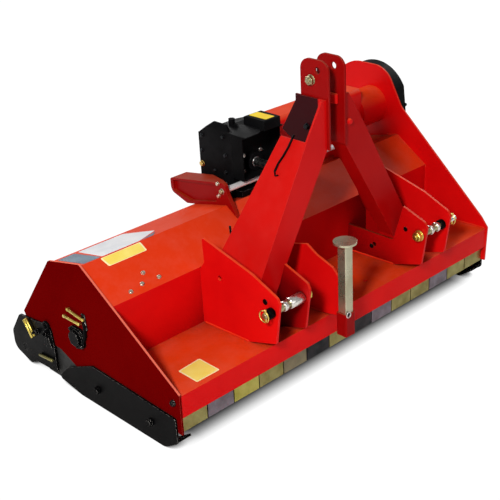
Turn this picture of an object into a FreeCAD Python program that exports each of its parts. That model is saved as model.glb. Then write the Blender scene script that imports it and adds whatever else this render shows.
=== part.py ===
import FreeCAD, Part
import math
import os
from types import SimpleNamespace

# Side-drive flail mulcher for a tractor's three-point hitch, in millimetres.
# +X runs along the rotor to the belt side, -Y points to the tractor, +Z is up.
# The side view is drawn from the front lip's top edge: y rearwards, z upwards.

DIMENSIONS = [
    ("deck_width", 1770, "over the outer faces of the two end plates"),
    ("end_plate_t", 8, "end plate thickness"),
    ("sheet_t", 5, "folded deck sheet"),
    ("lip_height", 242, "lip's top edge above the ground"),
    ("lip_drop", 88, "height of the lip's front face"),
    ("shelf_fall", 12, "fall of the shelf from the lip to the riser"),
    ("riser_y", 338, "riser behind the lip"),
    ("riser_z", 218, "top of the riser"),
    ("crest_y", 501, "front fold of the top face"),
    ("crest_z", 324, "height of that fold"),
    ("crown_y", 693, "rear fold of the top face"),
    ("crown_z", 278, "height of that fold"),
    ("tail_y", 925, "end of the rear slope"),
    ("tail_z", -6, "height of that end"),
    ("plate_foot_z", -154, "lower edge of the end plates"),
    ("plate_foot_y", 545, "rear end of that edge"),
    ("heel_z", -90, "lowest point of the end plates' rear part"),
    ("heel_y", 695, "where that part starts"),
    ("rotor_y", 560, "rotor axis behind the lip"),
    ("rotor_z", 20, "rotor axis above the lip"),
    ("rotor_tube_d", 140, "rotor tube"),
    ("rotor_end_gap", 12, "rotor tube to end plate"),
    ("journal_d", 45, "rotor journal"),
    ("bearing_flange_t", 12, "flange of a rotor bearing"),
    ("bearing_cap_t", 14, "cap outside that flange"),
    ("flail_tip", 188, "tip radius of the hammers"),
    ("flail_pivot", 108, "radius of the hammer bolts"),
    ("flail_pitch", 80, "hammer spacing along the rotor"),
    ("flail_width", 92, "width of a hammer's head"),
    ("flail_neck", 34, "width of a hammer's neck"),
    ("flail_lug_t", 8, "lug thickness"),
    ("flail_bolt_d", 18, "hammer bolt"),
    ("pulley_y", 650, "cross shaft behind the lip"),
    ("arch_setback", 38, "middle of the plate's round top behind the cross shaft"),
    ("pulley_z", 440, "cross shaft above the lip"),
    ("arch_radius", 185, "round top of the belt-side plate"),
    ("belt_cover_t", 70, "depth of the belt cover"),
    ("belt_cover_wall", 3, "wall of the belt cover"),
    ("belt_foot_radius", 92, "round foot of the belt cover"),
    ("skid_t", 8, "skid plate thickness"),
    ("skid_sole", 60, "width of a skid's sole"),
    ("skid_front_y", 22, "front end of a skid"),
    ("skid_rear_y", 728, "rear end of a skid"),
    ("skid_top_z", -78, "top edge of a skid"),
    ("skid_top_end_y", 493, "rear end of that edge"),
    ("sole_front_y", 94, "front end of the flat sole"),
    ("sole_rear_y", 583, "rear end of the flat sole"),
    ("roller_d", 140, "rear roller"),
    ("roller_y", 948, "roller axis behind the lip"),
    ("roller_end_gap", 5, "roller tube to roller bracket"),
    ("roller_axle_d", 30, "roller stub axle"),
    ("bracket_t", 8, "roller bracket thickness"),
    ("bracket_radius", 82, "round rear end of a roller bracket"),
    ("bracket_front_y", 735, "front end of a roller bracket"),
    ("hitch_x", 19, "hitch centre line from the middle of the deck"),
    ("hitch_spacing", 825, "between the middles of the lower clevises"),
    ("clevis_gap", 140, "between the two plates of a clevis"),
    ("clevis_t", 10, "clevis plate thickness"),
    ("clevis_reach", 76, "clevis plates ahead of the lip"),
    ("clevis_rear_y", 316, "rear end of the clevis plates' top edge"),
    ("clevis_rear_z", 345, "height of that end"),
    ("pin_d", 28, "lower hitch pin"),
    ("pin_y", -38, "lower hitch pin from the lip"),
    ("pin_z", 165, "lower hitch pin above the lip"),
    ("leg_y", 100, "front face of the mast legs"),
    ("leg_t", 8, "mast leg plate"),
    ("leg_web", 117, "width of a leg's front web"),
    ("leg_inner_depth", 75, "depth of a leg's inner flange"),
    ("leg_top_z", 790, "top of a leg"),
    ("leg_bend_drop", 190, "from a leg's top to where its inner edge starts to lean"),
    ("leg_foot_z", 20, "lower end of a leg"),
    ("leg_knee_z", 118, "lower end of the lean"),
    ("leg_rear_y", 225, "rear edge of a leg's outer flange at its top"),
    ("leg_waist_drop", 115, "start of that edge's slope below the top of the legs"),
    ("gusset_top_y", 245, "rear edge of a leg's inner flange at its top"),
    ("gusset_y", 320, "rear corner of the inner flange"),
    ("gusset_drop", 150, "that corner below the top of the legs"),
    ("leg_open_drop", 132, "upper end of a leg's outer flange below the top of the legs"),
    ("ear_gap", 76, "between the mast ears"),
    ("ear_t", 10, "mast ear thickness"),
    ("ear_front_y", 90, "front edge of the mast ears"),
    ("ear_depth", 135, "depth of the mast ears"),
    ("ear_rise", 138, "top of the mast ears above the legs"),
    ("ear_lap", 188, "mast ears along the legs"),
    ("ear_radius", 42, "rounding of the ears"),
    ("link_hole_d", 26, "top link hole"),
    ("link_y", 142, "top link hole from the lip"),
    ("link_drop", 38, "top link hole below the top of the ears"),
    ("mast_bolt_d", 20, "spacer bolt between the ears"),
    ("mast_bolt_y", 172, "spacer bolt from the lip"),
    ("mast_bolt_drop", 76, "spacer bolt below the top of the ears"),
    ("gearbox_y", 560, "front of the gearbox behind the lip"),
    ("gearbox_w", 210, "width of the gearbox"),
    ("gearbox_depth", 192, "depth of the gearbox"),
    ("gearbox_foot_z", 348, "underside of the gearbox"),
    ("gearbox_top_z", 604, "top of the gearbox and of its guard"),
    ("gearbox_eaves_z", 578, "upper ends of their side faces"),
    ("gearbox_ridge_w", 96, "flat part of their top"),
    ("gearbox_slope_y", 168, "length of the bevel at the gearbox's upper rear edge"),
    ("gearbox_slope_z", 58, "height of that bevel"),
    ("cheek_t", 18, "raised cover on the gearbox's left side"),
    ("cheek_front_y", 596, "front end of that cover's top"),
    ("cheek_rear_y", 669, "rear end of that cover's top"),
    ("foot_rail_w", 12, "bolting rail along each side of the gearbox"),
    ("foot_rail_t", 14, "thickness of that rail"),
    ("rib_count", 4, "cooling ribs on the gearbox's rear face"),
    ("rib_t", 9, "thickness of a rib"),
    ("rib_rise", 16, "height of a rib"),
    ("breather_d", 26, "breather on the gearbox"),
    ("breather_h", 20, "breather above the gearbox's top"),
    ("saddle_front_y", 508, "front end of the saddle"),
    ("side_flange_d", 168, "flange between the gearbox and the tunnel"),
    ("side_flange_t", 16, "thickness of that flange"),
    ("stub_d", 35, "power take-off stub"),
    ("stub_length", 95, "stub ahead of the gearbox collar"),
    ("stub_journal_d", 40, "part of the stub inside the collar"),
    ("stub_bore", 60, "depth of the stub's bore"),
    ("collar_d", 76, "collar round the stub"),
    ("collar_t", 28, "collar ahead of the gearbox"),
    ("guard_mouth_y", 495, "front edges of the shaft guard's side walls"),
    ("guard_visor_y", 442, "front end of the shaft guard's roof"),
    ("guard_foot_z", 394, "lower edge of the shaft guard"),
    ("guard_wall", 5, "guard wall"),
    ("hatch_w", 88, "width of the hatch on the guard's roof"),
    ("hatch_front_y", 430, "front end of the hatch"),
    ("hatch_rear_y", 545, "rear end of the hatch"),
    ("hatch_h", 36, "height of the hatch"),
    ("tunnel_top_z", 559, "top of the shaft tunnel"),
    ("tunnel_depth", 134, "depth of the shaft tunnel"),
    ("tunnel_end_x", 722, "belt-side end of the shaft tunnel"),
    ("tunnel_radius", 24, "rounded edges of the shaft tunnel"),
    ("hub_d", 172, "bearing hub at the belt side"),
    ("bar_d", 24, "guide bar"),
    ("bar_y", 522, "guide bar behind the lip"),
    ("bar_z", 376, "guide bar above the lip"),
    ("bar_start_x", -182, "left end of the guide bar"),
    ("bar_end_x", 520, "right end of the guide bar"),
    ("tray_w", 82, "width of the left bar bracket"),
    ("tray_rise", 92, "its top above the deck at the front"),
    ("tray_rear_rise", 112, "its top above the deck's line at the rear"),
    ("tray_front_y", 440, "front end of its foot"),
    ("tray_rear_y", 838, "its rear end"),
    ("tray_recess", 12, "depth of the recess in its outer face"),
    ("tray_wall", 5, "its wall"),
    ("flap_count", 14, "front guard flaps"),
    ("flap_gap", 5, "gap between two flaps"),
    ("flap_t", 5, "flap thickness"),
    ("flap_foot_z", -158, "lower edge of the flaps"),
    ("flap_rod_d", 12, "flap rod"),
    ("flap_rod_y", 21, "flap rod behind the lip"),
    ("flap_rod_z", -72, "flap rod below the lip's top"),
    ("strip_drop", 60, "rear strip below the tail"),
    ("strip_t", 6, "rear strip thickness"),
    ("blade_z", 72, "middle of the counter blade"),
    ("blade_h", 24, "height of the counter blade"),
    ("blade_t", 14, "thickness of the counter blade"),
    ("stand_w", 40, "parking stand tube"),
    ("stand_wall", 3, "wall of that tube"),
    ("stand_x", -137, "stand from the middle of the deck"),
    ("stand_y", -78, "stand from the lip"),
    ("stand_top_z", 322, "top of the stored stand"),
    ("stand_foot_z", -52, "lower end of the stored stand"),
    ("stand_disc_d", 88, "stand foot"),
    ("stand_disc_t", 8, "thickness of the stand foot"),
    ("socket_wall", 5, "wall of the stand socket"),
    ("socket_h", 92, "height of the stand socket"),
    ("socket_top_z", 40, "top of the stand socket"),
    ("run_fit", 0.4, "gap beside what turns or slides"),
    ("seat_fit", 0.3, "gap beside what is bolted"),
]

doc = FreeCAD.newDocument("mulcher")
sheet = doc.addObject("Spreadsheet::Sheet", "Sizes")
for row, (alias, value, meaning) in enumerate(DIMENSIONS, start=1):
    sheet.set(f"A{row}", meaning)
    sheet.set(f"B{row}", str(value))
    sheet.setAlias(f"B{row}", alias)
doc.recompute()
s = SimpleNamespace(**{alias: float(sheet.get(alias)) for alias, _, _ in DIMENSIONS})

# Places that several pieces share.
plate_face = s.deck_width / 2
plate_inner = plate_face - s.end_plate_t
roller_z = s.roller_d / 2 - s.lip_height
clevis_inner = s.hitch_spacing / 2 - s.clevis_gap / 2 - s.clevis_t
clevis_outer = s.hitch_spacing / 2 + s.clevis_gap / 2
ear_outer = s.ear_gap / 2 + s.ear_t
gearbox_x = s.hitch_x - s.gearbox_w / 2
leg_bend_z = s.leg_top_z - s.leg_bend_drop
leg_open_z = s.leg_top_z - s.leg_open_drop
ear_top_z = s.leg_top_z + s.ear_rise
ear_foot_z = s.leg_top_z - s.ear_lap
link_z = ear_top_z - s.link_drop
mast_bolt_z = ear_top_z - s.mast_bolt_drop
arch_y = s.pulley_y + s.arch_setback
tunnel_front_y = s.pulley_y - s.tunnel_depth / 2
tunnel_start_x = gearbox_x + s.gearbox_w + s.side_flange_t + s.seat_fit

# The origin lies on the ground under the middle of the outline.
reach_left = plate_face + s.bearing_flange_t + s.bearing_cap_t
reach_right = plate_face + s.belt_cover_t
reach_front = s.stand_disc_d / 2 - s.stand_y
reach_rear = s.roller_y + s.bracket_radius
ORIGIN = FreeCAD.Vector((reach_left - reach_right) / 2, (reach_front - reach_rear) / 2, s.lip_height)

sub_parts = []


def top_face_z(y):
    """Height of the deck's outer skin at a distance behind the lip."""
    skin = [(0, 0), (s.riser_y, -s.shelf_fall), (s.riser_y, s.riser_z), (s.crest_y, s.crest_z),
            (s.crown_y, s.crown_z), (s.tail_y, s.tail_z)]
    for (y0, z0), (y1, z1) in zip(skin, skin[1:]):
        if y0 <= y < y1:
            return z0 + (z1 - z0) * (y - y0) / (y1 - y0)
    return s.tail_z


def rounded_edges(outline):
    """Lines and arcs of a closed outline whose corners are (u, v) or (u, v, radius)."""
    count = len(outline)
    corners = []
    for i, corner in enumerate(outline):
        here = FreeCAD.Vector(corner[0], corner[1], 0)
        radius = corner[2] if len(corner) > 2 else 0
        if not radius:
            corners.append((here, None, here))
            continue
        before = FreeCAD.Vector(outline[i - 1][0], outline[i - 1][1], 0) - here
        after = FreeCAD.Vector(outline[(i + 1) % count][0], outline[(i + 1) % count][1], 0) - here
        half = before.getAngle(after) / 2
        before.normalize()
        after.normalize()
        reach = radius / math.tan(half)
        inward = (before + after).normalize()
        middle = here + inward * (radius / math.sin(half) - radius)
        corners.append((here + before * reach, middle, here + after * reach))
    edges = []
    for i, (start, middle, end) in enumerate(corners):
        if middle is not None:
            edges.append(Part.Arc(start, middle, end))
        following = corners[(i + 1) % count][0]
        if end.distanceToPoint(following) > 1e-6:
            edges.append(Part.LineSegment(end, following))
    return edges


def offset_sheet(centre, thickness):
    """Closed outline of a folded sheet: an open line and the same line moved sideways."""
    points = [FreeCAD.Vector(y, z, 0) for y, z in centre]
    normals = []
    for a, b in zip(points, points[1:]):
        along = (b - a).normalize()
        normals.append(FreeCAD.Vector(along.y, -along.x, 0))
    moved = [points[0] + normals[0] * thickness]
    for i in range(1, len(points) - 1):
        bisector = (normals[i - 1] + normals[i]).normalize()
        moved.append(points[i] + bisector * (thickness / bisector.dot(normals[i])))
    moved.append(points[-1] + normals[-1] * thickness)
    return [(p.x, p.y) for p in points + moved[::-1]]


def register(item, label, x=0.0):
    item.Label = label
    item.Placement = FreeCAD.Placement(ORIGIN + FreeCAD.Vector(x, 0, 0) + item.Placement.Base,
                                       item.Placement.Rotation)
    sub_parts.append(item)
    return item


class Piece:
    """A PartDesign body drawn in the machine's side, front or top view."""

    def __init__(self, label):
        self.label = label
        self.body = doc.addObject("PartDesign::Body", label)
        self.count = 0

    def sketch(self, plane, outline, holes=(), offset=0.0):
        self.count += 1
        sketch = self.body.newObject("Sketcher::SketchObject", f"{self.label}_sketch{self.count}")
        support = [f for f in self.body.Origin.OriginFeatures if f.Role == plane][0]
        sketch.AttachmentSupport = [(support, "")]
        sketch.MapMode = "FlatFace"
        sketch.AttachmentOffset = FreeCAD.Placement(FreeCAD.Vector(0, 0, offset), FreeCAD.Rotation())
        for edge in rounded_edges(outline):
            sketch.addGeometry(edge, False)
        for u, v, radius in holes:
            circle = Part.Circle(FreeCAD.Vector(u, v, 0), FreeCAD.Vector(0, 0, 1), radius)
            sketch.addGeometry(circle, False)
        return sketch

    def pad(self, sketch, length, reverse=False):
        pad = self.body.newObject("PartDesign::Pad", f"{sketch.Name}_pad")
        pad.Profile = sketch
        pad.Reversed = reverse
        return self.sized(pad, length)

    def pocket(self, sketch, length, reverse=False):
        pocket = self.body.newObject("PartDesign::Pocket", f"{sketch.Name}_pocket")
        pocket.Profile = sketch
        pocket.Reversed = reverse
        return self.sized(pocket, length)

    def sized(self, feature, length):
        """Length is a formula over the sheet, or a number worked out from it."""
        if isinstance(length, str):
            feature.setExpression("Length", length)
        else:
            feature.Length = length
        doc.recompute()
        return feature

    def done(self, x=0.0):
        return register(self.body, self.label, x)


def side_plate(label, outline, thickness, x, holes=()):
    """A flat plate that stands in the side view, its left face at x."""
    piece = Piece(label)
    piece.pad(piece.sketch("YZ_Plane", outline, holes), thickness)
    return piece.done(x)


def cross_rod(label, diameter, x_start, x_end, y, z):
    """A round bar along the machine's width."""
    rod = doc.addObject("Part::Cylinder", label)
    rod.setExpression("Radius", f"{diameter} / 2")
    rod.Height = x_end - x_start
    rod.Placement = FreeCAD.Placement(FreeCAD.Vector(0, y, z),
                                      FreeCAD.Rotation(FreeCAD.Vector(0, 1, 0), 90))
    return register(rod, label, x_start)


# Folded deck: lip, shelf, riser, sloped panel, top face and rear slope in one sheet.
deck_line = [(0, -s.lip_drop), (0, 0), (s.riser_y, -s.shelf_fall), (s.riser_y, s.riser_z),
             (s.crest_y, s.crest_z), (s.crown_y, s.crown_z), (s.tail_y, s.tail_z)]
deck = Piece("deck_shell")
deck.pad(deck.sketch("YZ_Plane", offset_sheet(deck_line, s.sheet_t)),
         "Sizes.deck_width - 2 * Sizes.end_plate_t")
deck.done(-plate_inner)

# End plates. The belt side rises to a round arch over the upper pulley.
plate_heel = [(s.tail_y - 18, s.heel_z + 42), (s.tail_y - 90, s.heel_z + 12), (s.heel_y, s.heel_z),
              (s.plate_foot_y, s.plate_foot_z), (0, s.plate_foot_z)]
journal_hole = (s.rotor_y, s.rotor_z, s.journal_d / 2 + s.run_fit)
left_outline = [(-2, 6, 6), (s.crest_y - 2, s.crest_z + 8, 12), (s.crown_y + 6, s.crown_z + 6, 20),
                (s.tail_y + 6, s.tail_z)] + plate_heel
side_plate("end_plate_left", left_outline, "Sizes.end_plate_t", -plate_face, [journal_hole])
right_outline = [(-6, 6, 4), (28, 48, 10), (arch_y - s.arch_radius - 20, s.pulley_z + 18, 60),
                 (arch_y - s.arch_radius * 0.62, s.pulley_z + s.arch_radius, s.arch_radius * 0.6),
                 (arch_y + s.arch_radius, s.pulley_z + s.arch_radius, s.arch_radius * 0.8),
                 (arch_y + s.arch_radius, s.pulley_z - 60, 60), (s.tail_y + 6, s.tail_z)] + plate_heel
side_plate("end_plate_right", right_outline, "Sizes.end_plate_t", plate_inner, [journal_hole])

# Belt cover: a moulded box over both pulleys, outboard of the belt-side plate.
cover = Piece("belt_cover")
belt_run = math.hypot(arch_y - s.rotor_y, s.pulley_z - s.rotor_z)
belt_lean = math.atan2(s.pulley_z - s.rotor_z, arch_y - s.rotor_y)


def belt_outline(margin):
    """Two arcs round the pulleys joined by their outer tangents."""
    big = s.arch_radius - 4 - margin
    small = s.belt_foot_radius - margin
    swing = math.acos((small - big) / belt_run)
    ends = []
    for centre_y, centre_z, radius in ((arch_y, s.pulley_z, big), (s.rotor_y, s.rotor_z, small)):
        for side in (1, -1):
            angle = belt_lean + math.pi + side * swing
            ends.append(FreeCAD.Vector(centre_y + radius * math.cos(angle),
                                       centre_z + radius * math.sin(angle), 0))
    crown = FreeCAD.Vector(arch_y + big * math.cos(belt_lean), s.pulley_z + big * math.sin(belt_lean), 0)
    foot = FreeCAD.Vector(s.rotor_y - small * math.cos(belt_lean), s.rotor_z - small * math.sin(belt_lean), 0)
    return [Part.Arc(ends[0], crown, ends[1]), Part.LineSegment(ends[1], ends[3]),
            Part.Arc(ends[3], foot, ends[2]), Part.LineSegment(ends[2], ends[0])]


def sketch_edges(piece, edges, offset=0.0):
    sketch = piece.sketch("YZ_Plane", [], offset=offset)
    for edge in edges:
        sketch.addGeometry(edge, False)
    return sketch


cover.pad(sketch_edges(cover, belt_outline(0)), "Sizes.belt_cover_t")
cover.pocket(sketch_edges(cover, belt_outline(s.belt_cover_wall)),
             "Sizes.belt_cover_t - Sizes.belt_cover_wall", reverse=True)
cover.done(plate_face)

# Skids: a side plate outside each end plate with a sole turned in under it.
sole_z = -s.lip_height
skid_outline = [(s.skid_front_y, s.skid_top_z - 18, 10), (s.skid_front_y, sole_z + 45, 20),
                (s.sole_front_y, sole_z, 60), (s.sole_rear_y, sole_z, 60), (s.skid_rear_y, sole_z + 24, 12),
                ((s.skid_rear_y + s.sole_rear_y) / 2, s.skid_top_z - 72, 30),
                (s.skid_top_end_y, s.skid_top_z, 20)]
sole_line = [(s.skid_front_y + 6, sole_z + 44), (s.sole_front_y, sole_z),
             (s.sole_rear_y, sole_z), (s.skid_rear_y - 6, sole_z + 24)]
for side, plate_x, sole_x in (("left", -plate_face - s.skid_t, -plate_face),
                              ("right", plate_face, plate_face - s.skid_sole)):
    skid = Piece(f"skid_{side}")
    skid.pad(skid.sketch("YZ_Plane", skid_outline), "Sizes.skid_t")
    sole_offset = s.skid_t if side == "left" else -s.skid_sole
    sole_sketch = skid.sketch("YZ_Plane", offset_sheet(sole_line, -s.skid_t), offset=sole_offset)
    skid.pad(sole_sketch, "Sizes.skid_sole")
    skid.done(plate_x)

# Roller brackets outside the end plates, and the roller with its stub axles.
bracket_outline = [(s.bracket_front_y, roller_z - s.roller_d * 0.24, 6),
                   (s.roller_y - s.roller_d * 0.45, roller_z - s.roller_d * 0.29, 40),
                   (s.roller_y - s.roller_d * 0.21, roller_z - s.roller_d * 0.47, 30),
                   (s.roller_y + s.bracket_radius, roller_z - s.roller_d * 0.21, 40),
                   (s.roller_y + s.bracket_radius, roller_z + s.roller_d * 0.33, 36),
                   (s.roller_y + 10, s.tail_z - 22, 24), (s.roller_y - 110, s.tail_z - 10, 20),
                   (s.bracket_front_y + 12, s.tail_z + 6, 30), (s.bracket_front_y, s.tail_z - 80, 12)]
axle_hole = (s.roller_y, roller_z, s.roller_axle_d / 2 + s.run_fit)
side_plate("roller_bracket_left", bracket_outline, "Sizes.bracket_t", -plate_face - s.bracket_t, [axle_hole])
side_plate("roller_bracket_right", bracket_outline, "Sizes.bracket_t", plate_face, [axle_hole])

roller = Piece("rear_roller")
half_roller = plate_face - s.roller_end_gap
axle_end = plate_face + s.bracket_t - 1
roller_line = [(-half_roller, s.roller_d / 2), (half_roller, s.roller_d / 2),
               (half_roller, s.roller_axle_d / 2), (axle_end, s.roller_axle_d / 2), (axle_end, 0),
               (-axle_end, 0), (-axle_end, s.roller_axle_d / 2), (-half_roller, s.roller_axle_d / 2)]
roller_sketch = roller.sketch("XZ_Plane", roller_line)
turned = roller.body.newObject("PartDesign::Revolution", "rear_roller_turned")
turned.Profile = roller_sketch
turned.ReferenceAxis = (roller_sketch, ["H_Axis"])
turned.Angle = 360
doc.recompute()
roller.body.Placement.Base = FreeCAD.Vector(0, s.roller_y, roller_z)
roller.done()


# Rotor: a tube with journals and hammers on bolted lugs, stepped round it from one to the next.
def station(x, angle):
    """Lugs, bolt, neck and head of one hammer, turned about the rotor's axis."""
    half_neck = s.flail_neck / 2
    tube_r = s.rotor_tube_d / 2
    lug_round = s.flail_bolt_d * 1.15
    solids = []
    for side in (-1, 1):
        left = half_neck + 1 if side > 0 else -half_neck - 1 - s.flail_lug_t
        slab = Part.makeBox(s.flail_lug_t, lug_round * 2, s.flail_pivot - tube_r + 12,
                            FreeCAD.Vector(left, -lug_round, tube_r - 12))
        eye = Part.makeCylinder(lug_round, s.flail_lug_t, FreeCAD.Vector(left, 0, s.flail_pivot),
                                FreeCAD.Vector(1, 0, 0))
        solids += [slab, eye]
    bolt_half = half_neck + s.flail_lug_t + 9
    solids.append(Part.makeCylinder(s.flail_bolt_d / 2, 2 * bolt_half,
                                    FreeCAD.Vector(-bolt_half, 0, s.flail_pivot), FreeCAD.Vector(1, 0, 0)))
    tip = s.flail_tip
    flare = []
    for half_width, half_depth, height in (
            (half_neck, 12, s.flail_pivot - 15), (half_neck, 12, s.flail_pivot + 15),
            (s.flail_width / 2, 14, tip - 36)):
        flare.append(Part.makePolygon([FreeCAD.Vector(u * half_width, v * half_depth, height)
                                       for u, v in ((-1, -1), (1, -1), (1, 1), (-1, 1), (-1, -1))]))
    solids.append(Part.makeLoft(flare, True, True))
    head = [(-14, tip - 38), (14, tip - 38), (38, tip - 22), (35, tip - 8), (10, tip), (-14, tip - 5)]
    wire = Part.Wire([edge.toShape() for edge in rounded_edges(head)])
    wire.Placement = FreeCAD.Placement(FreeCAD.Vector(-s.flail_width / 2, 0, 0),
                                       FreeCAD.Rotation(FreeCAD.Vector(1, 1, 1), 120))
    solids.append(Part.Face(wire).extrude(FreeCAD.Vector(s.flail_width, 0, 0)))
    shape = solids[0].multiFuse(solids[1:])
    shape.rotate(FreeCAD.Vector(0, 0, 0), FreeCAD.Vector(1, 0, 0), angle)
    shape.translate(FreeCAD.Vector(x, 0, 0))
    return shape


half_tube = plate_inner - s.rotor_end_gap
journal_end = plate_face + s.bearing_flange_t - 1
rotor_shape = Part.makeCylinder(s.rotor_tube_d / 2, 2 * half_tube, FreeCAD.Vector(-half_tube, 0, 0),
                                FreeCAD.Vector(1, 0, 0))
rotor_shape = rotor_shape.fuse(Part.makeCylinder(s.journal_d / 2, 2 * journal_end,
                                                 FreeCAD.Vector(-journal_end, 0, 0), FreeCAD.Vector(1, 0, 0)))
station_count = int((2 * half_tube - s.flail_width - 20) // s.flail_pitch) + 1
first_station = -(station_count - 1) * s.flail_pitch / 2
station_turn = 105.0
stations = [station(first_station + i * s.flail_pitch, i * station_turn) for i in range(station_count)]
rotor = doc.addObject("Part::Feature", "flail_rotor")
rotor.Shape = rotor_shape.multiFuse(stations)
rotor.Placement = FreeCAD.Placement(FreeCAD.Vector(0, s.rotor_y, s.rotor_z), FreeCAD.Rotation())
register(rotor, "flail_rotor")

# Flanged bearings with closed caps on the outer faces of the end plates.
for side, x, grow, half in (("left", -plate_face, -1, 40), ("right", plate_face, 1, 46)):
    bearing = Piece(f"rotor_bearing_{side}")
    flange = [(s.rotor_y - half, s.rotor_z - half, 20), (s.rotor_y + half, s.rotor_z - half, 20),
              (s.rotor_y + half, s.rotor_z + half, 20), (s.rotor_y - half, s.rotor_z + half, 20)]
    base = bearing.sketch("YZ_Plane", flange, [journal_hole])
    bearing.pad(base, "Sizes.bearing_flange_t", reverse=grow < 0)
    cap = bearing.sketch("YZ_Plane", [], [(s.rotor_y, s.rotor_z, s.journal_d / 2 + 7)],
                         offset=s.bearing_flange_t * grow)
    bearing.pad(cap, "Sizes.bearing_cap_t", reverse=grow < 0)
    bearing.done(x)

# Front guard: one rod behind the lip carries the hanging flaps.
cross_rod("flap_rod", "Sizes.flap_rod_d", -plate_inner, plate_inner, s.flap_rod_y, s.flap_rod_z)
flap_pitch = 2 * plate_inner / s.flap_count
eye_r = s.flap_rod_d / 2 + s.flap_t
for i in range(int(s.flap_count)):
    flap = Piece(f"front_flap_{i + 1:02d}")
    face_y = s.flap_rod_y - s.flap_t / 2
    hang = [(face_y, s.flap_foot_z), (face_y + s.flap_t, s.flap_foot_z),
            (face_y + s.flap_t, s.flap_rod_z), (face_y, s.flap_rod_z)]
    flap.pad(flap.sketch("YZ_Plane", hang), flap_pitch - s.flap_gap)
    eye = flap.sketch("YZ_Plane", [], [(s.flap_rod_y, s.flap_rod_z, eye_r)])
    flap.pad(eye, flap_pitch - s.flap_gap)
    bore = flap.sketch("YZ_Plane", [], [(s.flap_rod_y, s.flap_rod_z, s.flap_rod_d / 2 + s.run_fit)])
    flap.pocket(bore, flap_pitch - s.flap_gap, reverse=True)
    flap.done(-plate_inner + i * flap_pitch + s.flap_gap / 2)

# Hitch clevises: four plates on the shelf against the riser.
clevis_nose = (-s.clevis_reach, s.pin_z + 40, 14)
clevis_outline = [(s.riser_y - s.seat_fit, -s.shelf_fall * (s.riser_y - s.seat_fit) / s.riser_y),
                  (s.riser_y - s.seat_fit, s.riser_z - 6), (s.riser_y - 26, s.riser_z + 28),
                  (s.clevis_rear_y, s.clevis_rear_z, 8), (60, s.clevis_rear_z - 66), (-64, s.pin_z + 62, 16),
                  clevis_nose, (-50, 40, 8), (90, -s.shelf_fall * 90 / s.riser_y)]
pin_hole = (s.pin_y, s.pin_z, s.pin_d / 2 + s.seat_fit)
inner_top = s.leg_knee_z - 12
inner_outline = clevis_outline[:1] + [(s.riser_y - s.seat_fit, inner_top), (s.leg_y - 4, inner_top, 10),
                                      (46, s.clevis_rear_z - 78)] + clevis_outline[5:]
for label, x, outline, hole in (
        ("clevis_plate_a", s.hitch_x - clevis_outer - s.clevis_t, clevis_outline, (232, 208, 10)),
        ("clevis_plate_b", s.hitch_x - clevis_inner - s.clevis_t, inner_outline, (195, 56, 10)),
        ("clevis_plate_c", s.hitch_x + clevis_inner, inner_outline, (195, 56, 10)),
        ("clevis_plate_d", s.hitch_x + clevis_outer, clevis_outline, (232, 208, 10))):
    side_plate(label, outline, "Sizes.clevis_t", x, [pin_hole, hole])
pin_half = s.clevis_gap / 2 + s.clevis_t + 22
for side, middle in (("left", s.hitch_x - s.hitch_spacing / 2), ("right", s.hitch_x + s.hitch_spacing / 2)):
    cross_rod(f"hitch_pin_{side}", "Sizes.pin_d", middle - pin_half, middle + pin_half, s.pin_y, s.pin_z)

# Mast legs: folded channels that lean in to the ears. Points are in the front view.
leg_in_foot = clevis_inner + s.clevis_t + s.seat_fit
leg_out_foot = leg_in_foot + s.leg_web - 5
leg_in_top = ear_outer + s.seat_fit
leg_out_top = leg_in_top + s.leg_web


def leg_outline(inset_in, inset_out, extra=0.0):
    """Front view of the right leg, with its inner and outer edges moved inwards."""
    return [(leg_in_top + inset_in, s.leg_top_z + extra), (leg_in_top + inset_in, leg_bend_z - inset_in / 3),
            (leg_in_foot + inset_in, s.leg_knee_z - inset_in / 3),
            (leg_in_foot + inset_in, s.leg_foot_z - extra),
            (leg_out_foot - inset_out, s.leg_foot_z - extra),
            (leg_out_foot - inset_out, s.leg_knee_z + 14 + inset_out / 3),
            (leg_out_top - inset_out, leg_bend_z + 42 + inset_out / 3),
            (leg_in_top + 24 - inset_out / 2 + inset_in / 2, s.leg_top_z + extra)]


def mirrored(outline, mirror):
    points = [(s.hitch_x + mirror * u, v) for u, v in outline]
    return points if mirror > 0 else points[::-1]


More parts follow.
